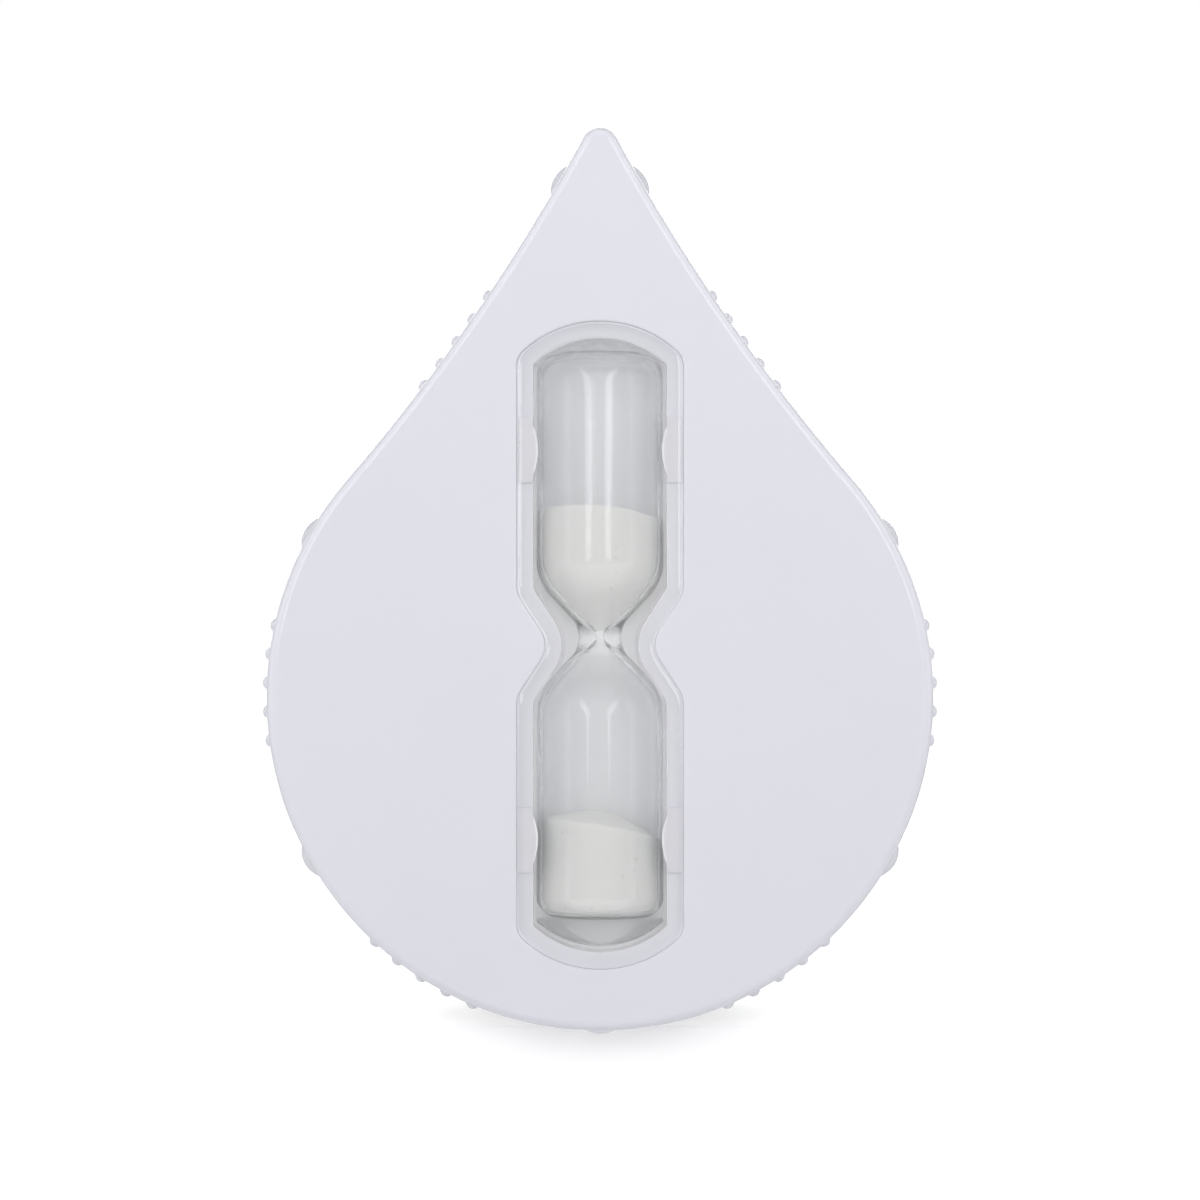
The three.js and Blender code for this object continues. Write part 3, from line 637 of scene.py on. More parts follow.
# %% [markdown]
# A rib is a round rod along the depth of the wall, sunk in it, with a domed front end. Rods could be joined
# to the wall by booleans, but a moulding has a small radius where the two meet. So a Geometry Nodes tree
# pushes the wall itself out: each point finds the nearest rib of its group along the outline, and if it
# lies inside that rod it moves straight out to the rod's surface. A smooth maximum leaves the small radius.
# One tree serves all groups, each as a modifier with its own sizes. Two helpers start such a tree and put it
# on a piece.

# %% Helpers for Geometry Nodes
def new_tree(title, inputs):
    tree = bpy.data.node_groups.new(title, "GeometryNodeTree")
    tree.interface.new_socket("Geometry", in_out="OUTPUT", socket_type="NodeSocketGeometry")
    tree.interface.new_socket("Geometry", in_out="INPUT", socket_type="NodeSocketGeometry")
    for name, kind in inputs.items():
        tree.interface.new_socket(name, in_out="INPUT", socket_type="NodeSocket" + kind)
    return tree, add_node(tree, "NodeGroupInput").outputs, add_node(tree, "NodeGroupOutput").inputs


def add_modifier(piece, tree, values):
    modifier = piece.modifiers.new(tree.name, "NODES")
    modifier.node_group = tree
    for item in tree.interface.items_tree:
        if item.in_out == "INPUT" and item.name in values:
            modifier[item.identifier] = values[item.name]
    return modifier


# %% [markdown]
# The tree works in four steps. It finds the number of the nearest rib and its place along the outline. The
# outline curve gives the rod's axis there. The rod gets narrower along its dome, as a ball does. Last, the
# point moves away from the axis until it lies on the rod.

# %% Tree for the grip ribs
def grip_rib_tree():
    sizes = ("Middle", "Count", "Pitch", "Radius", "Proud", "Front End", "Blend")
    tree, given, result = new_tree("grip ribs", {"Outline": "Object", **dict.fromkeys(sizes, "Float")})
    here = add_node(tree, "GeometryNodeInputPosition").outputs["Position"]
    along = add_node(tree, "GeometryNodeInputNamedAttribute", {"Name": "along"}).outputs["Attribute"]

    last = maths(tree, "SUBTRACT", given["Count"], 1.0)
    half = maths(tree, "MULTIPLY", last, 0.5)
    step = maths(tree, "DIVIDE", maths(tree, "SUBTRACT", along, given["Middle"]), given["Pitch"])
    number = maths(tree, "ROUND", maths(tree, "ADD", step, half))
    number = maths(tree, "MAXIMUM", maths(tree, "MINIMUM", number, last), 0.0)
    offset = maths(tree, "SUBTRACT", number, half)
    station = maths(tree, "MULTIPLY_ADD", offset, given["Pitch"], given["Middle"])

    outline = add_node(tree, "GeometryNodeObjectInfo", {"Object": given["Outline"]}).outputs["Geometry"]
    spot = add_node(tree, "GeometryNodeSampleCurve", {"Curves": outline, "Length": station}, mode="LENGTH")
    outward = vectors(tree, "CROSS_PRODUCT", (0, 1, 0), spot.outputs["Tangent"])
    sunk = maths(tree, "SUBTRACT", given["Radius"], given["Proud"])
    axis = vectors(tree, "SUBTRACT", spot.outputs["Position"], vectors(tree, "SCALE", outward, scale=sunk))
    away = vectors(tree, "SUBTRACT", vectors(tree, "MULTIPLY", here, (1, 0, 1)), axis)
    distance = vectors(tree, "LENGTH", away, output="Value")

    square = maths(tree, "MULTIPLY", given["Radius"], given["Radius"])
    dome = maths(tree, "SQRT", maths(tree, "SUBTRACT", square, maths(tree, "MULTIPLY", sunk, sunk)))
    depth = maths(tree, "MULTIPLY", axes_of(tree, here)["Y"], -1.0)
    past = maths(tree, "SUBTRACT", depth, maths(tree, "SUBTRACT", given["Front End"], dome))
    past = maths(tree, "MAXIMUM", past, 0.0)
    left = maths(tree, "SUBTRACT", square, maths(tree, "MULTIPLY", past, past))
    rod = maths(tree, "SQRT", maths(tree, "MAXIMUM", left, 0.0))
    pushed = maths(tree, "SMOOTH_MAX", distance, rod, given["Blend"])
    share = maths(tree, "SUBTRACT", maths(tree, "DIVIDE", pushed, distance), 1.0)
    move = vectors(tree, "SCALE", away, scale=share)
    moved = add_node(tree, "GeometryNodeSetPosition", {"Geometry": given["Geometry"], "Offset": move})
    tree.links.new(moved.outputs["Geometry"], result["Geometry"])
    return tree


grip_ribs = grip_rib_tree()
print("the rib tree has", len(grip_ribs.nodes), "nodes")

# %% [markdown]
# The tree needs the outline as a curve to sample. It is drawn through the same points as the wall, and it
# goes away again when the ribs are settled into the mesh.

# %% Push the ribs out of the wall
RIB_BLEND = 0.22


def outline_curve():
    curve = bpy.data.curves.new("drop outline", "CURVE")
    curve.dimensions = "3D"
    spline = curve.splines.new("POLY")
    spline.points.add(len(stations) - 1)
    for point, station in zip(spline.points, stations):
        point.co = (*place(*outline_point(station), 0), 1)
    guide = bpy.data.objects.new("drop_outline", curve)
    bpy.context.scene.collection.objects.link(guide)
    return guide


guide = outline_curve()
for middle, count, pitch, rib in rib_groups:
    add_modifier(front_shell, grip_ribs, {
        "Outline": guide, "Middle": middle * MM, "Count": float(count), "Pitch": pitch * MM,
        "Radius": rib["Radius"] * MM, "Proud": rib["Proud"] * MM, "Front End": rib_end * MM,
        "Blend": RIB_BLEND * MM,
    })
settle(front_shell)
front_shell.data.attributes.remove(front_shell.data.attributes["along"])
bpy.data.objects.remove(guide)
tell(front_shell)

# %% [markdown]
# The window is an hourglass: two arched ends, slanted edges and a rounded waist. Its right half is drawn
# once, from bottom to top, and mirrored. Drawing it further in, with the same centres, gives the opening
# of the trough and the edge of the clear cover.

# %% The outline of the window
WINDOW_HALF_WIDTH = 10.6
WINDOW_HALF_HEIGHT = 41.2
WAIST_HALF_WIDTH = 7.0
WAIST_ROUND = 3.5
WAIST_LEAN = turn(33)
LEDGE_WIDTH = 2.1
WINDOW_SHOULDER = 1.4 + LEDGE_WIDTH
WINDOW_CORNER = 0.5 + LEDGE_WIDTH
ARCH_RISE = 4.6
BEND_POINTS = 11
ARCH_POINTS = 18


def bend(x, up, radius, first, last, points=BEND_POINTS):
    return [(x + radius * math.cos(a), up + radius * math.sin(a)) for a in spread(first, last, points)]


def waisted_side(waist, waist_round, side, shoulder, lean, inset=0.0, middle=0.0):
    slant = (side - waist - (waist_round + shoulder) * (1 - math.cos(lean))) / math.sin(lean)
    shoulder_up = (waist_round + shoulder) * math.sin(lean) + slant * math.cos(lean)
    hollow = bend(waist + waist_round, middle, waist_round + inset, math.pi, math.pi - lean)
    return hollow + bend(side - shoulder, middle + shoulder_up, shoulder - inset, -lean, 0)


def both_ways(upper, middle=0.0):
    lower = [(x, 2 * middle - up) for x, up in reversed(upper[1:])]
    return lower + upper


def window_half(inset):
    arch_radius = (WINDOW_HALF_WIDTH ** 2 + ARCH_RISE ** 2) / (2 * ARCH_RISE)
    arch_up = WINDOW_HALF_HEIGHT - arch_radius
    corner_x = WINDOW_HALF_WIDTH - WINDOW_CORNER
    corner_rise = math.sqrt((arch_radius - WINDOW_CORNER) ** 2 - corner_x ** 2)
    corner_angle = math.atan2(corner_rise, corner_x)
    side = waisted_side(
        WAIST_HALF_WIDTH, WAIST_ROUND, WINDOW_HALF_WIDTH, WINDOW_SHOULDER, WAIST_LEAN, inset)
    corner = bend(corner_x, arch_up + corner_rise, WINDOW_CORNER - inset, 0, corner_angle)
    arch = bend(0, arch_up, arch_radius - inset, corner_angle, math.pi / 2, ARCH_POINTS)
    arch[-1] = (0, arch[-1][1])
    return both_ways(side + corner + arch[1:])


def window_ring(inset, out):
    half = window_half(inset)
    return [place(x, up, out) for x, up in half + [(-x, up) for x, up in reversed(half[1:-1])]]


def window_prism(name, inset, *outs):
    return loft(name, [window_ring(inset, out) for out in outs])


print("the window has", len(window_ring(0, 0)), "points")

# %% [markdown]
# The sand glass is drawn tube, heated and drawn in to a narrow neck, so its wall is thick there and the neck
# bends light like a lens. Outside and bore are two waisted profiles with a rounded foot and a domed head.
# The housing needs the outside too, for the bed that the glass lies in.

# %% The profile of the sand glass
GLASS_WALL = 0.75
VIAL_CORNER = 2.8
BORE_CORNER = 2.0
TOP_DOME = 4.4
TOP_SQUARENESS = 3.4
TOP_WALL = 0.75
TOP_POINTS = 24
NECK_RADIUS = 2.7
NECK_THROAT = 3.7
BORE_RADIUS = 0.45
BORE_THROAT = 1.1
TAPER_LEAN = turn(43)
SHOULDER_ROUND = 6.0

bore_radius = vial_radius - GLASS_WALL


def domed_end(radius, top, rise):
    power = 2 / TOP_SQUARENESS
    leans = spread(0, math.pi / 2, TOP_POINTS)
    arch = [(radius * math.cos(a) ** power, top - rise + rise * math.sin(a) ** power) for a in leans[:-1]]
    return arch + [(0, top)]


def glass_side(radius, neck, throat, shoulder, foot_up, corner, head):
    upper = waisted_side(neck, throat, radius, shoulder, TAPER_LEAN, 0, vial_middle)
    foot = bend(radius - corner, foot_up + corner, corner, -math.pi / 2, 0)
    return foot + both_ways(upper, vial_middle) + head


def glass_outside(gap):
    head = domed_end(vial_radius + gap, vial_top + gap, TOP_DOME + gap)
    shoulder = SHOULDER_ROUND + GLASS_WALL + gap
    return glass_side(vial_radius + gap, NECK_RADIUS + gap, NECK_THROAT - gap, shoulder,
                      base_up - gap, VIAL_CORNER + gap, head)


def bore_side(inset):
    neck = BORE_RADIUS - min(inset, BORE_RADIUS / 2)
    head = domed_end(bore_radius - inset, vial_top - TOP_WALL - inset, TOP_DOME - TOP_WALL - inset)
    return glass_side(bore_radius - inset, neck, BORE_THROAT + inset, SHOULDER_ROUND - inset,
                      floor_up + inset, BORE_CORNER - inset, head)


print("the glass is", round(vial_top - base_up, 1), "mm long with a bore of", round(2 * bore_radius, 1), "mm")

# %% [markdown]
# Behind the window lies the trough: a narrow shelf near the level of the glass's axis, and in it the bed of
# the glass. The bed is only as deep as the glass needs, so it rises to a saddle under the neck, and where
# the glass is narrower than the window its sides slope down to the glass. Below the glass it ends in a flat
# foot.

# %% The depth of the trough
BED_GAP = 0.05
BED_ROOM = 0.37
BED_CORNER = 0.45
CORNER_POINTS = 14
BACK_POINTS = 9
SHELF_OUT = 20.2
FOOT_OUT = 14.0

bed_side = glass_outside(BED_GAP)


def across_at(profile, up):
    for (low_x, low), (high_x, high) in zip(profile, profile[1:]):
        if low <= up <= high and high > low:
            return low_x + (high_x - low_x) * (up - low) / (high - low)
    return 0.0


def bed_depth(up, wall):
    if up < base_up:
        return vial_out - FOOT_OUT + wall
    return across_at(bed_side, up) + BED_ROOM + wall


def core_section():
    straight = 1 - BED_CORNER
    right = [(1, 0), *bend(straight, straight, BED_CORNER, 0, math.pi / 2, CORNER_POINTS)]
    back = [(across, 1) for across in spread(straight, -straight, BACK_POINTS)[1:-1]]
    return right + back + [(-across, deep) for across, deep in reversed(right)]


print("the shelf lies", round(SHELF_OUT - vial_out, 2), "mm in front of the glass's axis")
print("the bed is", round(bed_depth(vial_middle, 0), 2), "mm deep behind the neck")

# %% [markdown]
# On the mould the trough is a core. Each cross-section is one row of points, a sloping side, a flat back with
# round corners and the other side, and the rows are skinned from bottom to top. No row may shrink to nothing:
# the core would not be closed, and a boolean with it would silently do nothing. So each core is counted for
# open edges when it is made.

# %% The core of the trough
BED_SLOPE = 2.5
MOST_SLOPE = 0.6
LEAST_DEPTH = 0.3
FOOT_STEP = 0.01


def trough_core(name, inset, front, wall=0.0):
    half = window_half(inset)
    heights = {up for _, up in half}
    heights.update(up for _, up in bed_side if up < half[-1][1])
    heights.add(base_up - FOOT_STEP)
    bm = bmesh.new()
    rows = []
    for up in sorted(heights):
        x = across_at(half, up)
        spare = max(x - across_at(bed_side, up) - wall, 0.0)
        slope = min(spare, BED_SLOPE, MOST_SLOPE * x) if up >= base_up else 0.0
        start = SHELF_OUT - slope
        depth = max(start - vial_out + bed_depth(up, wall), LEAST_DEPTH)
        back = [((x - slope) * across, start - depth * deep) for across, deep in core_section()]
        row = [(x, front), (x, SHELF_OUT), *back, (-x, SHELF_OUT), (-x, front)]
        rows.append([bm.verts.new(place(across, up, out)) for across, out in row])
    for low, high in zip(rows, rows[1:]):
        for here in range(len(low) - 1):
            bm.faces.new((low[here], low[here + 1], high[here + 1], high[here]))
    bm.faces.new([row[0] for row in rows] + [row[-1] for row in reversed(rows)])
    core = finished_mesh(name, bm)
    tell(core)
    return core


# %% [markdown]
# The real shell is hollow, with a step round the window for the clear cover, pockets for the cover's four
# snap legs and three posts for the screws. Their sizes hang together: the cover's thickness sets the step,
# the step and the legs set the pockets, and the screws give the places of the posts.

# %% Sizes inside the shell
CUT = 1.0
FIT_GAP = 0.3
LEG_GAP = 0.01
SHELL_WALL = 2.0
FACE_THICKNESS = 2.0
RIM_LIP = 1.0
LENS_THICKNESS = 1.8
LEDGE_THICKNESS = 1.5
LEDGE_BACKING = 1.5
TROUGH_WALL = 1.2
EDGE_ROUND = 0.3
LEG_UP = 24.8
LEG_LENGTH = 8.2
LEG_THICKNESS = 1.8
LEG_DEPTH = 11.6
GRIP_LENGTH = 6.1
GRIP_BULGE = 0.6
GRIP_DEPTH = 5.7
BARB_PROUD = 0.65
BARB_HEIGHT = 2.4
BARB_SETBACK = 0.3
POCKET_ROOM = 1.0
POST_RADIUS = 3.4
POST_SIDES = 48
PILOT_RADIUS = 1.6
PILOT_DEPTH = 9.0
POST_GAP = 4.7

lens_back = front_out - LENS_THICKNESS
ledge_out = lens_back - FIT_GAP
leg_outer = WINDOW_HALF_WIDTH - FIT_GAP
leg_inner = leg_outer - LEG_THICKNESS
leg_end = lens_back - LEG_DEPTH
barb_out = leg_end + BARB_SETBACK
post_end = rear_out + POST_GAP
into_face = front_out - FACE_THICKNESS / 2
face_back = front_out - FACE_THICKNESS
LEGS = [(right, up * LEG_UP) for right in (-1, 1) for up in (-1, 1)]
SCREWS = ("cover_screw_top", "cover_screw_left", "cover_screw_right")


print("the step lies at", round(ledge_out, 2), "and the legs end at", round(leg_end, 2))

# %% [markdown]
# Each of these forms is a small closed solid. A pocket is made twice, once larger as the wall round it and
# once as the room inside, and so is the trough.

# %% Forms inside the shell
def screw_place(node):
    return sum(reach(node, 0)) / 2, sum(reach(node, 2)) / 2


def sideways(right, inner, outer):
    return tuple(sorted((right * inner, right * outer)))


def leg_pocket(right, up, grow, inner, top):
    half = LEG_LENGTH / 2 + LEG_GAP + grow
    across = sideways(right, inner, WINDOW_HALF_WIDTH + grow)
    return block("pocket", across, (up - half, up + half), (leg_end - POCKET_ROOM - grow, top))


def barb_hole(right, up):
    half = GRIP_LENGTH / 2 + FIT_GAP
    across = sideways(right, WINDOW_HALF_WIDTH - BARB_PROUD, WINDOW_HALF_WIDTH + TROUGH_WALL + BARB_PROUD)
    depth = (barb_out - FIT_GAP, barb_out + BARB_HEIGHT + FIT_GAP)
    return block("barb hole", across, (up - half, up + half), depth)


def rod(name, centre, radius, first, last):
    profile = [(0, first), (radius, first), (radius, last), (0, last)]
    return turned(name, profile, POST_SIDES, about_wall(*centre))


# %% [markdown]
# What is added to the hollow shell is joined first, and what is cut away is joined too, so the fine outer
# wall goes through only three booleans. The cutting tools carry the small roundings of the window's edges.

# %% Hollow, fill and cut the shell
ROUND_ROWS = 6


def shell_hollow():
    levels = [(RIM_LIP, rear_out - CUT), (RIM_LIP, cover_out + FIT_GAP), (SHELL_WALL, cover_out + FIT_GAP)]
    levels.append((SHELL_WALL + SIDE_DRAFT, face_back))
    return loft("hollow", [drop_ring(plain_stations, inset, out) for inset, out in levels])


def shell_inside():
    inside = window_prism("step", -LEDGE_BACKING, ledge_out - LEDGE_THICKNESS, into_face)
    outside = LEDGE_WIDTH - TROUGH_WALL
    combine(inside, "UNION", trough_core("trough outside", outside, into_face, TROUGH_WALL))
    combine(inside, "UNION", *[leg_pocket(*leg, TROUGH_WALL, vial_radius, into_face) for leg in LEGS])
    posts = [rod("post", screw_place(node), POST_RADIUS, post_end, into_face) for node in SCREWS]
    return combine(inside, "UNION", *posts)


def rounded(inset, out):
    leans = spread(0, math.pi / 2, ROUND_ROWS)
    return [(inset - EDGE_ROUND * (1 - math.sin(a)), out - EDGE_ROUND * (1 - math.cos(a))) for a in leans]


def shell_cuts():
    flare = rounded(0, front_out)
    levels = [(flare[0][0], front_out + CUT), *flare, (0, ledge_out)]
    cuts = loft("window", [window_ring(inset, out) for inset, out in reversed(levels)])
    flare = rounded(LEDGE_WIDTH, ledge_out)
    levels = [(flare[0][0], ledge_out + CUT), *flare, (LEDGE_WIDTH, SHELF_OUT)]
    combine(cuts, "UNION", loft("trough", [window_ring(inset, out) for inset, out in reversed(levels)]))
    combine(cuts, "UNION", trough_core("bed", LEDGE_WIDTH + BED_ROOM, SHELF_OUT + CUT))
    top = ledge_out + FIT_GAP
    combine(cuts, "UNION", *[leg_pocket(*leg, 0, leg_inner - LEG_GAP, top) for leg in LEGS])
    combine(cuts, "UNION", *[barb_hole(*leg) for leg in LEGS])
    pilot_end = post_end + PILOT_DEPTH
    pilots = [rod("pilot", screw_place(node), PILOT_RADIUS, post_end - CUT, pilot_end) for node in SCREWS]
    return combine(cuts, "UNION", *pilots)


combine(front_shell, "DIFFERENCE", shell_hollow())
combine(front_shell, "UNION", shell_inside())
combine(front_shell, "DIFFERENCE", shell_cuts())
smooth(front_shell)
tell(front_shell)

# %% [markdown]
# A finished piece takes its material, rides on a body of the frame and stands for the plain solid there.

# %% Dress the shell
def dress(piece, material, slot, body, *nodes):
    piece.data.materials.clear()
    piece.data.materials.append(material)
    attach(piece, body)
    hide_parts(*nodes)
    tell(piece)


dress(front_shell, housing_white, "white_housing", "timer_body", "front_shell")

# %% [markdown]
# Four legs behind the clear cover snap into the pockets with a barb, and a bowed pad on each steadies the
# sand glass. Each leg is a block joined to its pad and its barb. It reaches a little into the plate, so that
# no film of air shows between the two.

# %% The legs of the cover
RIM_WIDTH = 0.22
RIM_DROP = 0.05
LEG_SUNK = 0.3


def snap_leg(right, up):
    root = lens_back + LEG_SUNK
    half = LEG_LENGTH / 2
    leg = block("leg", sideways(right, leg_inner, leg_outer), (up - half, up + half), (leg_end, root))
    half = GRIP_LENGTH / 2
    bow = (half ** 2 + GRIP_BULGE ** 2) / (2 * GRIP_BULGE)
    swing = math.asin(half / bow)
    centre = leg_inner - GRIP_BULGE + bow
    bowed = bend(centre, up, bow, math.pi - swing, math.pi + swing)
    inside_leg = leg_inner + LEG_THICKNESS / 2
    rings = []
    for out, rim in ((lens_back - GRIP_DEPTH, 0), (root - RIM_DROP, 0), (root, RIM_WIDTH)):
        pad = [*[(x + rim, y) for x, y in bowed], (inside_leg, bowed[-1][1]), (inside_leg, bowed[0][1])]
        rings.append([place(right * x, y, out) for x, y in pad])
    combine(leg, "UNION", loft("pad", rings))
    inner = leg_outer - LEG_THICKNESS / 2
    wedge = [(inner, barb_out), (leg_outer, barb_out), (leg_outer + BARB_PROUD, barb_out + BARB_HEIGHT),
             (inner, barb_out + BARB_HEIGHT)]
    ends = (up - half, up + half)
    barb = loft("barb", [[place(right * x, end, out) for x, out in wedge] for end in ends])
    return combine(leg, "UNION", barb)


legs = [snap_leg(*leg) for leg in LEGS]
print(len(legs), "legs, the first with", open_edges(legs[0]), "open edges")

# %% [markdown]
# The clear cover is a moulded plate that fills the window, level with the face. Its front edge is rounded,
# and a narrow facet inside the rounding leans towards the strip lights. Together they draw the bright line
# round the window. The legs stay whole solids inside the piece, with a pale finish of their own as painted
# light, and the slanted rims of their pads take a brighter white as a painted highlight.

# %% The clear window cover
LENS_INSET = 0.04
LENS_EDGE = (0.4, 0.36)
LENS_EDGE_ROWS = 9
LENS_BACK_EDGE = 0.12
FACET_WIDTH = 0.24
FACET_LEAN = turn(9)
FACET_ROWS = (0.15, 0.85, 1.0)
# Material slots for the legs' painted light and the rims' painted highlight.
LEG_PAINTED_LIGHT, RIM_PAINTED_HIGHLIGHT = 1, 2
RIM_FACES_FRONT, RIM_FACES_SIDE = 0.5, 0.1


def window_plate():
    levels = [(LENS_INSET + LENS_BACK_EDGE, lens_back), (LENS_INSET, lens_back + LENS_BACK_EDGE)]
    drop = FACET_WIDTH * math.tan(FACET_LEAN)
    for lean in spread(0, math.pi / 2, LENS_EDGE_ROWS):
        out = front_out - drop - LENS_EDGE[1] * (1 - math.sin(lean))
        levels.append((LENS_INSET + LENS_EDGE[0] * (1 - math.cos(lean)), out))
    for share in FACET_ROWS:
        inset = LENS_INSET + LENS_EDGE[0] + share * FACET_WIDTH
        levels.append((inset, front_out - drop * (1 - share)))
    return loft("window_cover", [window_ring(inset, out) for inset, out in levels])


def gather(piece, *others):
    bm = bmesh.new()
    bm.from_mesh(piece.data)
    for other in others:
        bm.from_mesh(other.data)
        bpy.data.objects.remove(other)
    bm.to_mesh(piece.data)
    bm.free()
    return piece


window_cover = window_plate()
plate_faces = len(window_cover.data.polygons)
gather(window_cover, *legs)
smooth(window_cover)
dress(window_cover, window_clear, "clear_window", "timer_body", "window_lens")
window_cover.data.materials.append(legs_painted_light)
window_cover.data.materials.append(rim_painted_highlight)
for polygon in list(window_cover.data.polygons)[plate_faces:]:
    on_rim = polygon.normal.y < -RIM_FACES_FRONT and abs(polygon.normal.x) > RIM_FACES_SIDE
    polygon.material_index = RIM_PAINTED_HIGHLIGHT if on_rim else LEG_PAINTED_LIGHT
print(sum(p.material_index == RIM_PAINTED_HIGHLIGHT for p in window_cover.data.polygons), "faces of the legs are rims")

# %% [markdown]
# The outside and the bore of the sand glass join at the fill hole in its lower end, which makes one closed
# solid of glass. A drop of sealant stops the hole.

# %% The sand glass
FILL_HOLE_RADIUS = 2.0
STOPPER_GAP = 0.05
PLUG_EDGE = 0.2
PLUG_BACK_EDGE = 0.1
PLUG_SIDES = 64
GLASS_SIDES = 144

profile = [*reversed(bore_side(0)), (FILL_HOLE_RADIUS, floor_up), (FILL_HOLE_RADIUS, base_up)]
profile += glass_outside(0)
sand_glass = turned("sand_glass", profile, GLASS_SIDES, about_glass)
smooth(sand_glass)
dress(sand_glass, vial_clear, "vial_glass", "timer_body", "glass_vial")

plug_radius = FILL_HOLE_RADIUS - STOPPER_GAP
plug = [(0, base_up), (plug_radius - PLUG_EDGE, base_up), (plug_radius, base_up + PLUG_EDGE)]
plug += [(plug_radius, floor_up - PLUG_BACK_EDGE), (plug_radius - PLUG_BACK_EDGE, floor_up), (0, floor_up)]
stopper = turned("stopper_plug", plug, PLUG_SIDES, about_glass)
smooth(stopper)
dress(stopper, stopper_clear, "stopper", "timer_body", "vial_stopper")

# %% [markdown]
# The sand fills the bore up to a surface: nearly level above, where it sinks evenly, and a low heap below,
# where it has just fallen. Each surface is a height for every place across the bore. A little noise keeps
# both from looking machined.

# %% The surfaces of the sand
UPPER_DEPTH = 16.95
UPPER_PEAK = -3.2
UPPER_CROWN = 0.0135
UPPER_RISE = 0.06
UPPER_RIPPLES = ((2.6, 0.1), (0.7, 0.04))
HEAP_HEIGHT = 13.3
HEAP_ROUND = 1.2
HEAP_FALL_RIGHT = 0.6
HEAP_FALL_LEFT = 0.18
HEAP_FALL_FRONT = 0.29
HEAP_RIPPLES = ((2.2, 0.15), (0.7, 0.06))
RIPPLE_LAYER = 7.3
LEAST_RADIUS = 0.01


def rippled(level, x, front, ripples):
    for size, height in ripples:
        level += height * noise.noise(Vector((x / size, front / size, RIPPLE_LAYER)))
    return level


def upper_surface(x, front):
    crown = UPPER_CROWN * (x - UPPER_PEAK) ** 2
    level = vial_middle + UPPER_DEPTH - crown + UPPER_RISE * (front - bore_radius)
    return rippled(level, x, front, UPPER_RIPPLES)


def lower_surface(x, front):
    radius = math.hypot(x, front)
    across = x / max(radius, LEAST_RADIUS)
    lean = (HEAP_FALL_RIGHT - HEAP_FALL_LEFT) / 2
    widening = (HEAP_FALL_RIGHT + HEAP_FALL_LEFT) / 2 - HEAP_FALL_FRONT
    fall = HEAP_FALL_FRONT + lean * across + widening * across ** 2
    peak = math.hypot(radius, HEAP_ROUND) - HEAP_ROUND
    return rippled(floor_up + HEAP_HEIGHT - peak * fall, x, front, HEAP_RIPPLES)


print("sand levels in the middle:", round(upper_surface(0, 0), 1), "and", round(lower_surface(0, 0), 1))

# %% [markdown]
# A body of sand is skinned from the bottom up, along the glass, and then in rings over its surface to the
# middle. Its wall stops a hair short of the bore, so that the glass and the sand never share a face.

# %% The two bodies of sand
SAND_GAP = 0.03
SAND_SIDES = 120
SAND_RINGS = 34
SAND_ROWS = 14
SAND_SMOOTHING = 60
SAND_OUTLET = 0.9
UPPER_WALL_TOP = 14.0
UPPER_WALL_ROWS = 40
LOWER_WALL_TOP = 8.0

sand_side = bore_side(SAND_GAP)
sand_radius = bore_radius - SAND_GAP


def sand_body(name, surface, wall):
    turns = [2 * math.pi * side / SAND_SIDES for side in range(SAND_SIDES)]
    rings = [[(radius * math.cos(a), radius * math.sin(a), up) for a in turns] for radius, up in wall]
    for share in spread(0, 1, SAND_ROWS)[1:]:
        low = wall[-1][1]
        edge = [(sand_radius * math.cos(a), sand_radius * math.sin(a)) for a in turns]
        rings.append([(x, front, low + (surface(x, front) - low) * share) for x, front in edge])
    for radius in spread(sand_radius, 0, SAND_RINGS)[1:-1]:
        ring = [(radius * math.cos(a), radius * math.sin(a)) for a in turns]
        rings.append([(x, front, surface(x, front)) for x, front in ring])
    bm = bmesh.new()
    loops = [[bm.verts.new(about_glass(*point)) for point in ring] for ring in rings]
    for low, high in zip(loops, loops[1:]):
        for here in range(SAND_SIDES):
            after = (here + 1) % SAND_SIDES
            bm.faces.new((low[here], low[after], high[after], high[here]))
    for loop, up in ((loops[0], wall[0][1]), (loops[-1], surface(0, 0))):
        pole = bm.verts.new(about_glass(0, 0, up))
        for here in range(SAND_SIDES):
            bm.faces.new((loop[here], loop[(here + 1) % SAND_SIDES], pole))
    return finished_mesh(name, bm)


upper_levels = spread(vial_middle + SAND_OUTLET, vial_middle + UPPER_WALL_TOP, UPPER_WALL_ROWS)
upper_wall = [(across_at(sand_side, up), up) for up in upper_levels]
lower_wall = [point for point in sand_side if point[1] < floor_up + BORE_CORNER]
lower_wall += [(sand_radius, floor_up + BORE_CORNER), (sand_radius, floor_up + LOWER_WALL_TOP)]
upper_sand = sand_body("sand_in_upper_glass", upper_surface, upper_wall)
lower_sand = sand_body("sand_in_lower_glass", lower_surface, lower_wall)
for piece, node in ((upper_sand, "sand_upper"), (lower_sand, "sand_lower")):
    smooth(piece, SAND_SMOOTHING)
    dress(piece, sand_pale, "sand", "timer_body", node)

# %% [markdown]
# The rear cover closes the back inside the housing's rim. It has a hole for the cup's stud and a sunk well
# for each screw head. Its outer edge is rounded, and the mouths of its holes have a small chamfer.

# %% The rear cover
COVER_EDGE = 0.4
HEAD_RADIUS = 2.5
HEAD_HEIGHT = 1.7
HEAD_SUNK = 0.8
WELL_WALL = 1.2
WELL_FLOOR = 1.6
STUD_RADIUS = 4.0
SCREW_RADIUS = 1.3
MOUTH_EDGE = 0.25
WELL_START = 1.0
HOLE_SIDES = 64
COVER_EDGE_ROWS = 6

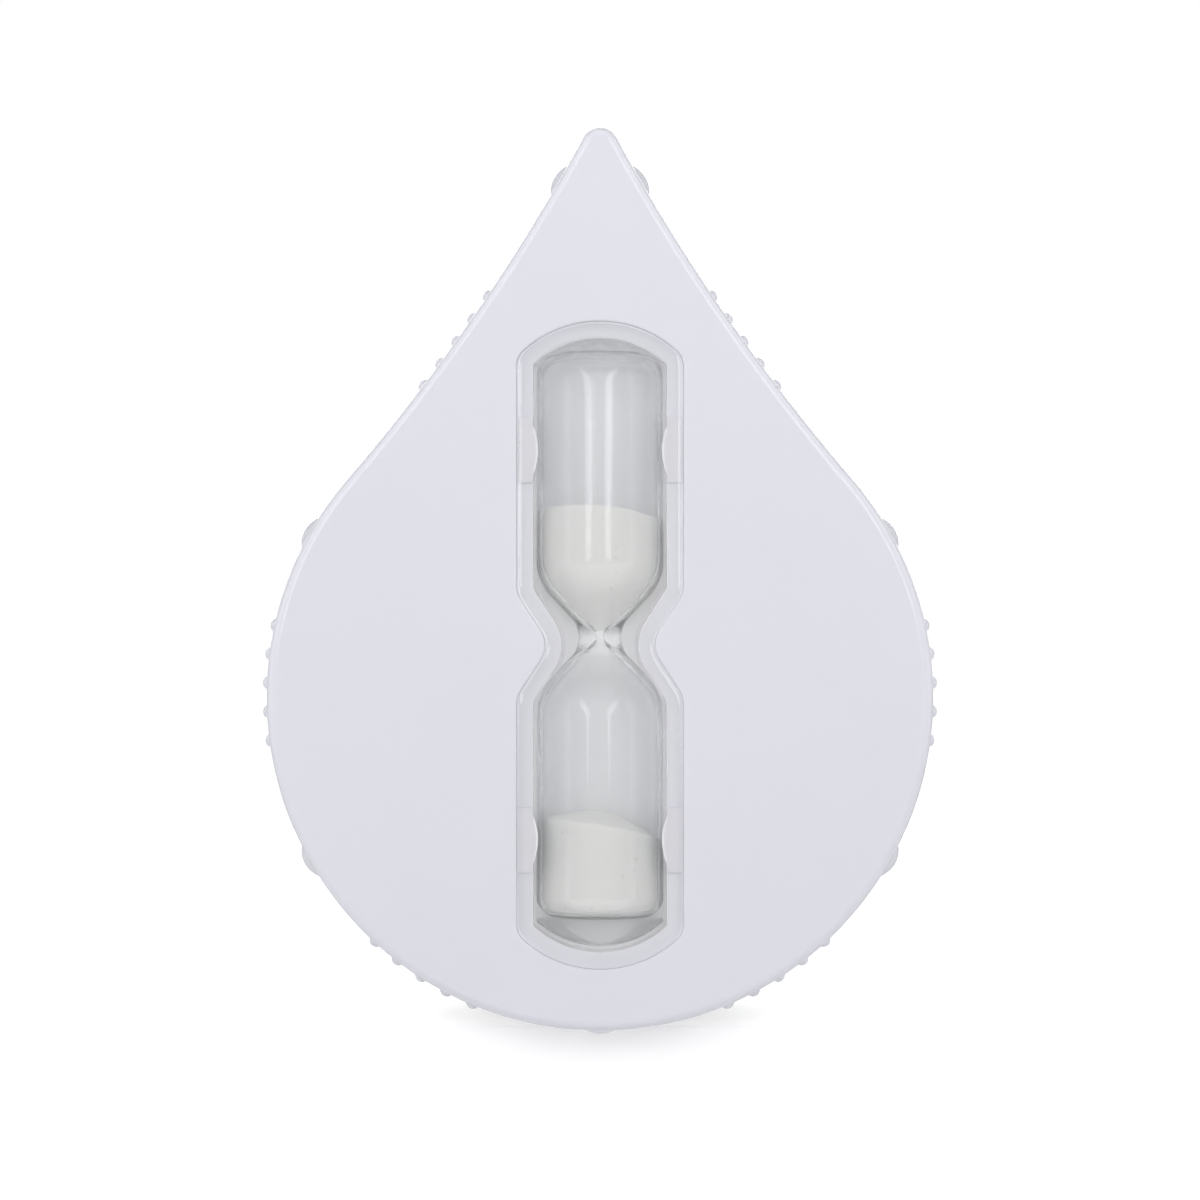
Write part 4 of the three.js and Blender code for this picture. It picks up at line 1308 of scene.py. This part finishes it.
seat_out = rear_out + HEAD_SUNK + HEAD_HEIGHT
well_end = seat_out + FIT_GAP + WELL_FLOOR
head_room = HEAD_RADIUS + FIT_GAP


def flared_hole(name, centre, radius, last):
    start, mouth = rear_out - CUT, rear_out + MOUTH_EDGE
    profile = [(0, start), (radius + MOUTH_EDGE + CUT, start), (radius, mouth), (radius, last), (0, last)]
    return turned(name, profile, HOLE_SIDES, about_wall(*centre))


cover_inset = RIM_LIP + FIT_GAP
edge = [(cover_inset + COVER_EDGE * (1 - math.sin(a)), rear_out + COVER_EDGE * (1 - math.cos(a)))
        for a in spread(0, math.pi / 2, COVER_EDGE_ROWS)]
levels = [*edge, (cover_inset, cover_out)]
rear_cover = loft("rear_cover_plate", [drop_ring(plain_stations, inset, out) for inset, out in levels])
well_out = rear_out + WELL_START
wells = [rod("well", screw_place(node), head_room + WELL_WALL, well_out, well_end) for node in SCREWS]
combine(rear_cover, "UNION", *wells)
for node in SCREWS:
    combine(rear_cover, "DIFFERENCE", flared_hole("well", screw_place(node), head_room, seat_out + FIT_GAP))
    shank = rod("shank hole", screw_place(node), SCREW_RADIUS + FIT_GAP, rear_out, well_end + CUT)
    combine(rear_cover, "DIFFERENCE", shank)
combine(rear_cover, "DIFFERENCE", flared_hole("stud hole", (0, 0), STUD_RADIUS + FIT_GAP, cover_out + CUT))
smooth(rear_cover)
dress(rear_cover, cover_white, "white_cover", "timer_body", "rear_cover")

# %% [markdown]
# The cover screws are self-tapping, with a crowned head and a cross recess. One is turned from a profile, and
# two tapered blocks cut the recess. Its thread is hidden in the posts and left plain.

# %% One cover screw
SCREW_LENGTH = 8.0
SCREW_POINT = 1.6
SCREW_SIDES = 64
HEAD_CROWN = 0.8
HEAD_CROWN_TURN = turn(60)
HEAD_CROWN_ROWS = 7
HEAD_DROP = 0.95
HEAD_EDGE = 0.1
RECESS_WIDTH = 0.75
RECESS_REACH = 1.35
RECESS_DEPTH = 1.0
RECESS_TAPER = 0.6
RECESS_START = 0.2


def along_z(x, y, up):
    return Vector((x, y, up)) * MM


def model_screw():
    top = HEAD_HEIGHT
    leans = spread(0, HEAD_CROWN_TURN, HEAD_CROWN_ROWS)
    crown = [(HEAD_RADIUS * math.sin(a), top - HEAD_CROWN * (1 - math.cos(a))) for a in leans]
    crown[0] = (0, top)
    edge = [(HEAD_RADIUS, top - HEAD_DROP), (HEAD_RADIUS, HEAD_EDGE), (HEAD_RADIUS - HEAD_EDGE, 0)]
    shank = [(SCREW_RADIUS, 0), (SCREW_RADIUS, SCREW_POINT - SCREW_LENGTH), (0, -SCREW_LENGTH)]
    screw = turned("screw", crown + edge + shank, SCREW_SIDES, along_z)
    for wide, long in ((RECESS_WIDTH, RECESS_REACH), (RECESS_REACH, RECESS_WIDTH)):
        bottom = (RECESS_TAPER * wide, RECESS_TAPER * long, top - RECESS_DEPTH)
        corners = ((-1, -1), (1, -1), (1, 1), (-1, 1))
        levels = (bottom, (wide, long, top + RECESS_START))
        rings = [[along_z(i * x, j * y, up) for i, j in corners] for x, y, up in levels]
        combine(screw, "DIFFERENCE", loft("recess", rings))
    return smooth(screw)


model = model_screw()
tell(model)

# %% [markdown]
# Three alike screws hold the cover. A Geometry Nodes tree puts a copy of the model on each place, turned by a
# seeded random angle, because nobody stops three screws at the same angle. A Random Value node has sockets
# for every kind of value, so the ones for plain numbers are picked by their place.

# %% The cover screws
SCREW_SEED = 4
RANDOM_MOST, RANDOM_RESULT = 3, 1


def screw_tree():
    tree, given, result = new_tree("cover screws", {"Screw": "Object", "Seed": "Int", "Finish": "Material"})
    source = add_node(tree, "GeometryNodeObjectInfo", {"Object": given["Screw"]}).outputs["Geometry"]
    angle = add_node(tree, "FunctionNodeRandomValue", {"Seed": given["Seed"]}, data_type="FLOAT")
    angle.inputs[RANDOM_MOST].default_value = math.pi
    backward = {"X": -math.pi / 2, "Y": angle.outputs[RANDOM_RESULT]}
    turns = add_node(tree, "ShaderNodeCombineXYZ", backward).outputs["Vector"]
    facing = add_node(tree, "FunctionNodeEulerToRotation", {"Euler": turns})
    points = add_node(tree, "GeometryNodeMeshToPoints", {"Mesh": given["Geometry"]})
    copies = add_node(tree, "GeometryNodeInstanceOnPoints", {
        "Points": points.outputs["Points"], "Instance": source, "Rotation": facing.outputs["Rotation"]})
    real = add_node(tree, "GeometryNodeRealizeInstances", {"Geometry": copies.outputs["Instances"]})
    done = add_node(tree, "GeometryNodeSetMaterial", {
        "Geometry": real.outputs["Geometry"], "Material": given["Finish"]})
    tree.links.new(done.outputs["Geometry"], result["Geometry"])
    return tree


def points_object(name, points):
    mesh = bpy.data.meshes.new(name)
    mesh.from_pydata(points, [], [])
    piece = bpy.data.objects.new(name, mesh)
    bpy.context.scene.collection.objects.link(piece)
    return piece


cover_screws = points_object("cover_screw_set", [place(*screw_place(node), seat_out) for node in SCREWS])
add_modifier(cover_screws, screw_tree(), {"Screw": model, "Seed": SCREW_SEED, "Finish": screw_steel})
settle(cover_screws)
bpy.data.objects.remove(model)
dress(cover_screws, screw_steel, "screw_steel", "timer_body", *SCREWS)

# %% [markdown]
# The suction cup is soft clear vinyl, turned from one profile: a hollow sealing face, a thin lip, a crowned
# back and the mushroom stud that the rear cover turns on. It is the only piece that stays on the wall, so it
# rides on its own body.

# %% The suction cup
CUP_RADIUS = 21.0
CUP_LAND = 3.0
CUP_LIP = 0.8
CUP_HOLLOW = 3.4
CUP_SHOULDER_RADIUS = 8.5
CUP_SHOULDER = 1.3
CUP_CROWN = 0.72
STUD_HEAD_RADIUS = 5.2
STUD_HEAD_EDGE = 0.8
STUD_HEAD_DOME = 1.1
STUD_HEAD_POINTS = 10
HOLLOW_POINTS = 24
CROWN_POINTS = 26
LIP_EDGE = 0.2
SHOULDER_EDGE = 0.3
CUP_SIDES = 120


def dome(rim, rise, level, points):
    radius = (rim ** 2 + rise ** 2) / (2 * rise)
    half = math.asin(rim / radius)
    arch = bend(0, level + rise - radius, radius, math.pi / 2 - half, math.pi / 2, points)
    return arch[:-1] + [(0, arch[-1][1])]


def crown_curve(points):
    shoulder_foot = rear_out - FIT_GAP - CUP_SHOULDER
    start, end = (CUP_RADIUS, CUP_LIP), (CUP_SHOULDER_RADIUS, shoulder_foot)
    pull = (start[0] - (start[0] - end[0]) / 2 * CUP_CROWN, end[1] - (end[1] - start[1]) / 2 * CUP_CROWN)
    curve = []
    for t in spread(0, 1, points):
        weights = ((1 - t) ** 2, 2 * t * (1 - t), t ** 2)
        curve.append(tuple(sum(w * p[i] for w, p in zip(weights, (start, pull, end))) for i in (0, 1)))
    return curve


shoulder_top = rear_out - FIT_GAP
head_out = cover_out + FIT_GAP
profile = list(reversed(dome(CUP_RADIUS - CUP_LAND, CUP_HOLLOW, 0, HOLLOW_POINTS)))
profile += [(CUP_RADIUS - LIP_EDGE, 0), (CUP_RADIUS, LIP_EDGE), *crown_curve(CROWN_POINTS)]
profile.append((CUP_SHOULDER_RADIUS, shoulder_top - SHOULDER_EDGE))
profile.append((CUP_SHOULDER_RADIUS - SHOULDER_EDGE, shoulder_top))
profile += [(STUD_RADIUS, shoulder_top), (STUD_RADIUS, head_out), (STUD_HEAD_RADIUS, head_out)]
profile += dome(STUD_HEAD_RADIUS, STUD_HEAD_DOME, head_out + STUD_HEAD_EDGE, STUD_HEAD_POINTS)
suction_cup = turned("suction_cup_vinyl", profile, CUP_SIDES, about_wall(0, 0))
smooth(suction_cup)
dress(suction_cup, vinyl_clear, "clear_vinyl", "wall_cup", "suction_cup")

# %% [markdown]
# The camera looks straight at the face through a long lens, so that the drop shows no perspective. The frame
# of the photograph is about 152 mm wide at the face, and its middle lies a little above the swivel axis.

# %% The camera
VIEW_DISTANCE = 0.8
VIEW_WIDTH = 0.15248
VIEW_UP = 5.76
SENSOR = 36.0

camera_data = bpy.data.cameras.new("long lens")
camera_data.sensor_width = SENSOR
camera_data.lens = SENSOR * VIEW_DISTANCE / VIEW_WIDTH
camera = bpy.data.objects.new("camera", camera_data)
camera.location = place(0, VIEW_UP, front_out) - Vector((0, VIEW_DISTANCE, 0))
camera.rotation_euler = (math.pi / 2, 0, 0)
bpy.context.scene.collection.objects.link(camera)
bpy.context.scene.camera = camera
print("lens of", round(camera_data.lens), "mm at", VIEW_DISTANCE, "m")

# %% [markdown]
# The stage is white. Behind the drop the floor lies at the height of its foot, and in front it steps down,
# so that the tip has room when the drop turns. The floor gives some light of its own to camera rays, which
# makes it white without more light on the object. In two soft patches at the foot of the drop it gives less,
# so the patches are a painted shadow, darker than the rest of the floor even where nothing shades them, and
# the drop's real shadow shows in them too.

# %% The stage
STEP_UP = -49.9
STEP_OUT = 6.3
LOW_UP = -95.0
STEP_ROUND = 1.0
STAGE_HALF = 3000.0
LOW_REACH = 640.0
LEVEL_GLOW = 0.85
RISER_GLOW = 0.39
# Less glow at the foot paints a soft shadow on the floor and on the riser.
FOOT_GLOW = 0.25
MIRROR_GLOW = 0.35
FOOT_SHADOW_PATCH = (41.0, 73.0, 50.0)
PATCH_BACK = 28.0
RISER_FOOT = 0.265
RISER_SHADOW_PATCH = (20.5, 500.0, 5.0)
PATCH_FADE = (0.2, 1.0)
STEP_POINTS = 8


def stage_step():
    corner = bend(STEP_OUT - STEP_ROUND, STEP_UP - STEP_ROUND, STEP_ROUND, math.pi / 2, 0, STEP_POINTS)
    section = [(-STAGE_HALF, STEP_UP), *corner, (STEP_OUT, LOW_UP), (LOW_REACH, LOW_UP)]
    bm = bmesh.new()
    sides = [[bm.verts.new(place(x, up, away)) for away, up in section] for x in (-STAGE_HALF, STAGE_HALF)]
    for here in range(len(section) - 1):
        bm.faces.new((sides[0][here], sides[0][here + 1], sides[1][here + 1], sides[1][here]))
    return finished_mesh("stage_floor", bm)


# A soft patch of painted shadow: the glow falls from its outer level to its inner one towards the middle.
def painted_shadow_patch(tree, centre, size, levels):
    away = vectors(tree, "SUBTRACT", object_place(tree), tuple(centre))
    scaled = vectors(tree, "DIVIDE", away, tuple(Vector(size) * MM))
    distance = vectors(tree, "LENGTH", scaled, output="Value")
    return soft_step(tree, distance, PATCH_FADE, levels)


def stage_finish():
    material, tree, shader = new_finish("white stage", Base_Color=(0.82, 0.82, 0.82, 1), Roughness=0.9)
    normal = add_node(tree, "ShaderNodeNewGeometry").outputs["Normal"]
    upright = maths(tree, "ABSOLUTE", vectors(tree, "DOT_PRODUCT", normal, (0, 1, 0), output="Value"))
    level = painted_shadow_patch(tree, place(0, STEP_UP, STEP_OUT - PATCH_BACK), FOOT_SHADOW_PATCH, (FOOT_GLOW, LEVEL_GLOW))
    riser = painted_shadow_patch(tree, place(0, STEP_UP, STEP_OUT), RISER_SHADOW_PATCH, (RISER_FOOT, RISER_GLOW))
    glow = maths(tree, "MULTIPLY_ADD", upright, maths(tree, "SUBTRACT", riser, level), level)
    shader.inputs["Emission Color"].default_value = (1, 1, 1, 1)
    path = add_node(tree, "ShaderNodeLightPath").outputs
    seen = maths(tree, "MAXIMUM", path["Is Camera Ray"], path["Is Transmission Ray"])
    mirrored = maths(tree, "MULTIPLY", path["Is Glossy Ray"], MIRROR_GLOW)
    strength = maths(tree, "MULTIPLY_ADD", seen, glow, mirrored)
    feed(tree, shader.inputs["Emission Strength"], strength)
    return material


floor = stage_step()
floor.data.materials.append(stage_finish())
print("the floor lies at", STEP_UP, "mm and steps down to", LOW_UP, "mm")

# %% [markdown]
# Two tall strip lights stand either side of the camera, and they lean and stand at different angles, as lamps
# set by hand do. They light the face and draw bright lines down the glass and round the window. Large soft
# lamps at both sides, overhead and behind light the edges and the rear. No lamp shows to the camera itself.

# %% The lamps
STRIP_DISTANCE = 0.72
STRIP_AZIMUTHS = {-1: 31.0, 1: 24.5}
STRIP_LEAN = 33
STRIP_WIDTH = 0.14
STRIP_LOW, STRIP_HIGH = -0.05, 0.5
STRIP_RADIANCE = 3.3
TOP_SIZE = 0.7
TOP_HEIGHT = 0.75
TOP_FORWARD = 0.15
TOP_RADIANCE = 0.9
SIDE_AZIMUTH = 78
SIDE_DISTANCE = 0.6
SIDE_UP = 0.12
SIDE_SIZE = (0.45, 0.8)
SIDE_RADIANCE = 1.25
BACK_DISTANCE = 0.7
BACK_SIZE = (0.6, 0.6)
BACK_RADIANCE = 2.6


def towards(azimuth):
    return Vector((math.sin(turn(azimuth)), -math.cos(turn(azimuth)), 0))


def area_light(name, size, radiance, at, aim):
    light = bpy.data.lights.new(name, "AREA")
    light.shape = "RECTANGLE"
    light.size, light.size_y = size
    light.energy = math.pi * size[0] * size[1] * radiance
    lamp = bpy.data.objects.new(name, light)
    lamp.location = at
    lamp.rotation_euler = (aim - at).to_track_quat("-Z", "Y").to_euler()
    lamp.visible_camera = False
    bpy.context.scene.collection.objects.link(lamp)
    return lamp


face = place(0, 0, front_out)
strip_size = (STRIP_WIDTH, STRIP_HIGH - STRIP_LOW)
strip_middle = face + Vector((0, 0, (STRIP_LOW + STRIP_HIGH) / 2))
side_middle = face + Vector((0, 0, SIDE_UP))
for side in (-1, 1):
    at = strip_middle + towards(side * STRIP_AZIMUTHS[side]) * STRIP_DISTANCE
    lamp = area_light(f"strip {side}", strip_size, STRIP_RADIANCE, at, strip_middle)
    lamp.rotation_euler.rotate_axis("Z", turn(-side * STRIP_LEAN))
    at = side_middle + towards(side * SIDE_AZIMUTH) * SIDE_DISTANCE
    area_light(f"side {side}", SIDE_SIZE, SIDE_RADIANCE, at, side_middle)
top = face + Vector((0, -TOP_FORWARD, TOP_HEIGHT))
area_light("overhead", (TOP_SIZE, TOP_SIZE), TOP_RADIANCE, top, face)
area_light("back", BACK_SIZE, BACK_RADIANCE, Vector((0, BACK_DISTANCE, 0)), Vector())
print(len(bpy.data.lights), "lamps, and the strips are", strip_size[1], "m tall")

# %% [markdown]
# The world fills in the rest. The camera sees it plain white, and glass and gloss mirror it a little darker,
# so that their edges stay readable. What it gives as light comes mostly from around the camera. Colours are
# shown as they are, with the Standard view.

# %% The world
ROOM_LIGHT = 0.12
FRONT_LIGHT = 1.47
FRONT_CONE = (0.8, 0.94)
MIRROR_CONE = (0.9, 0.97)
CAMERA_SIDE = 0.8
FAR_SIDE = 0.75


def white_world():
    world = bpy.data.worlds.new("white room")
    world.use_nodes = True
    tree = world.node_tree
    direction = add_node(tree, "ShaderNodeTexCoord").outputs["Generated"]
    front = vectors(tree, "DOT_PRODUCT", direction, (0, -1, 0), output="Value")
    lit = soft_step(tree, front, FRONT_CONE, (ROOM_LIGHT, ROOM_LIGHT + FRONT_LIGHT))
    mirrored = soft_step(tree, front, MIRROR_CONE, (FAR_SIDE, CAMERA_SIDE))
    path = add_node(tree, "ShaderNodeLightPath").outputs
    seen = maths(tree, "MAXIMUM", path["Is Camera Ray"], path["Is Glossy Ray"])
    seen = maths(tree, "MAXIMUM", seen, path["Is Transmission Ray"])
    shown = maths(tree, "MULTIPLY", maths(tree, "MAXIMUM", mirrored, path["Is Camera Ray"]), seen)
    strength = maths(tree, "MULTIPLY_ADD", lit, maths(tree, "SUBTRACT", 1.0, seen), shown)
    background = tree.nodes["Background"]
    background.inputs["Color"].default_value = (1, 1, 1, 1)
    feed(tree, background.inputs["Strength"], strength)
    return world


bpy.context.scene.world = white_world()
bpy.context.scene.view_settings.view_transform = "Standard"
print("world:", bpy.context.scene.world.name)

# %% [markdown]
# Light reaches the trough only through the window and the glass, and most of its brightness comes from one
# wall lighting the next. Every such path crosses many clear faces, so the limits on bounces are raised.

# %% Light paths through the glass
paths = bpy.context.scene.cycles
paths.max_bounces = 32
paths.diffuse_bounces = 16
paths.transmission_bounces = 24
paths.transparent_max_bounces = 96
print("transparent bounces:", paths.transparent_max_bounces)
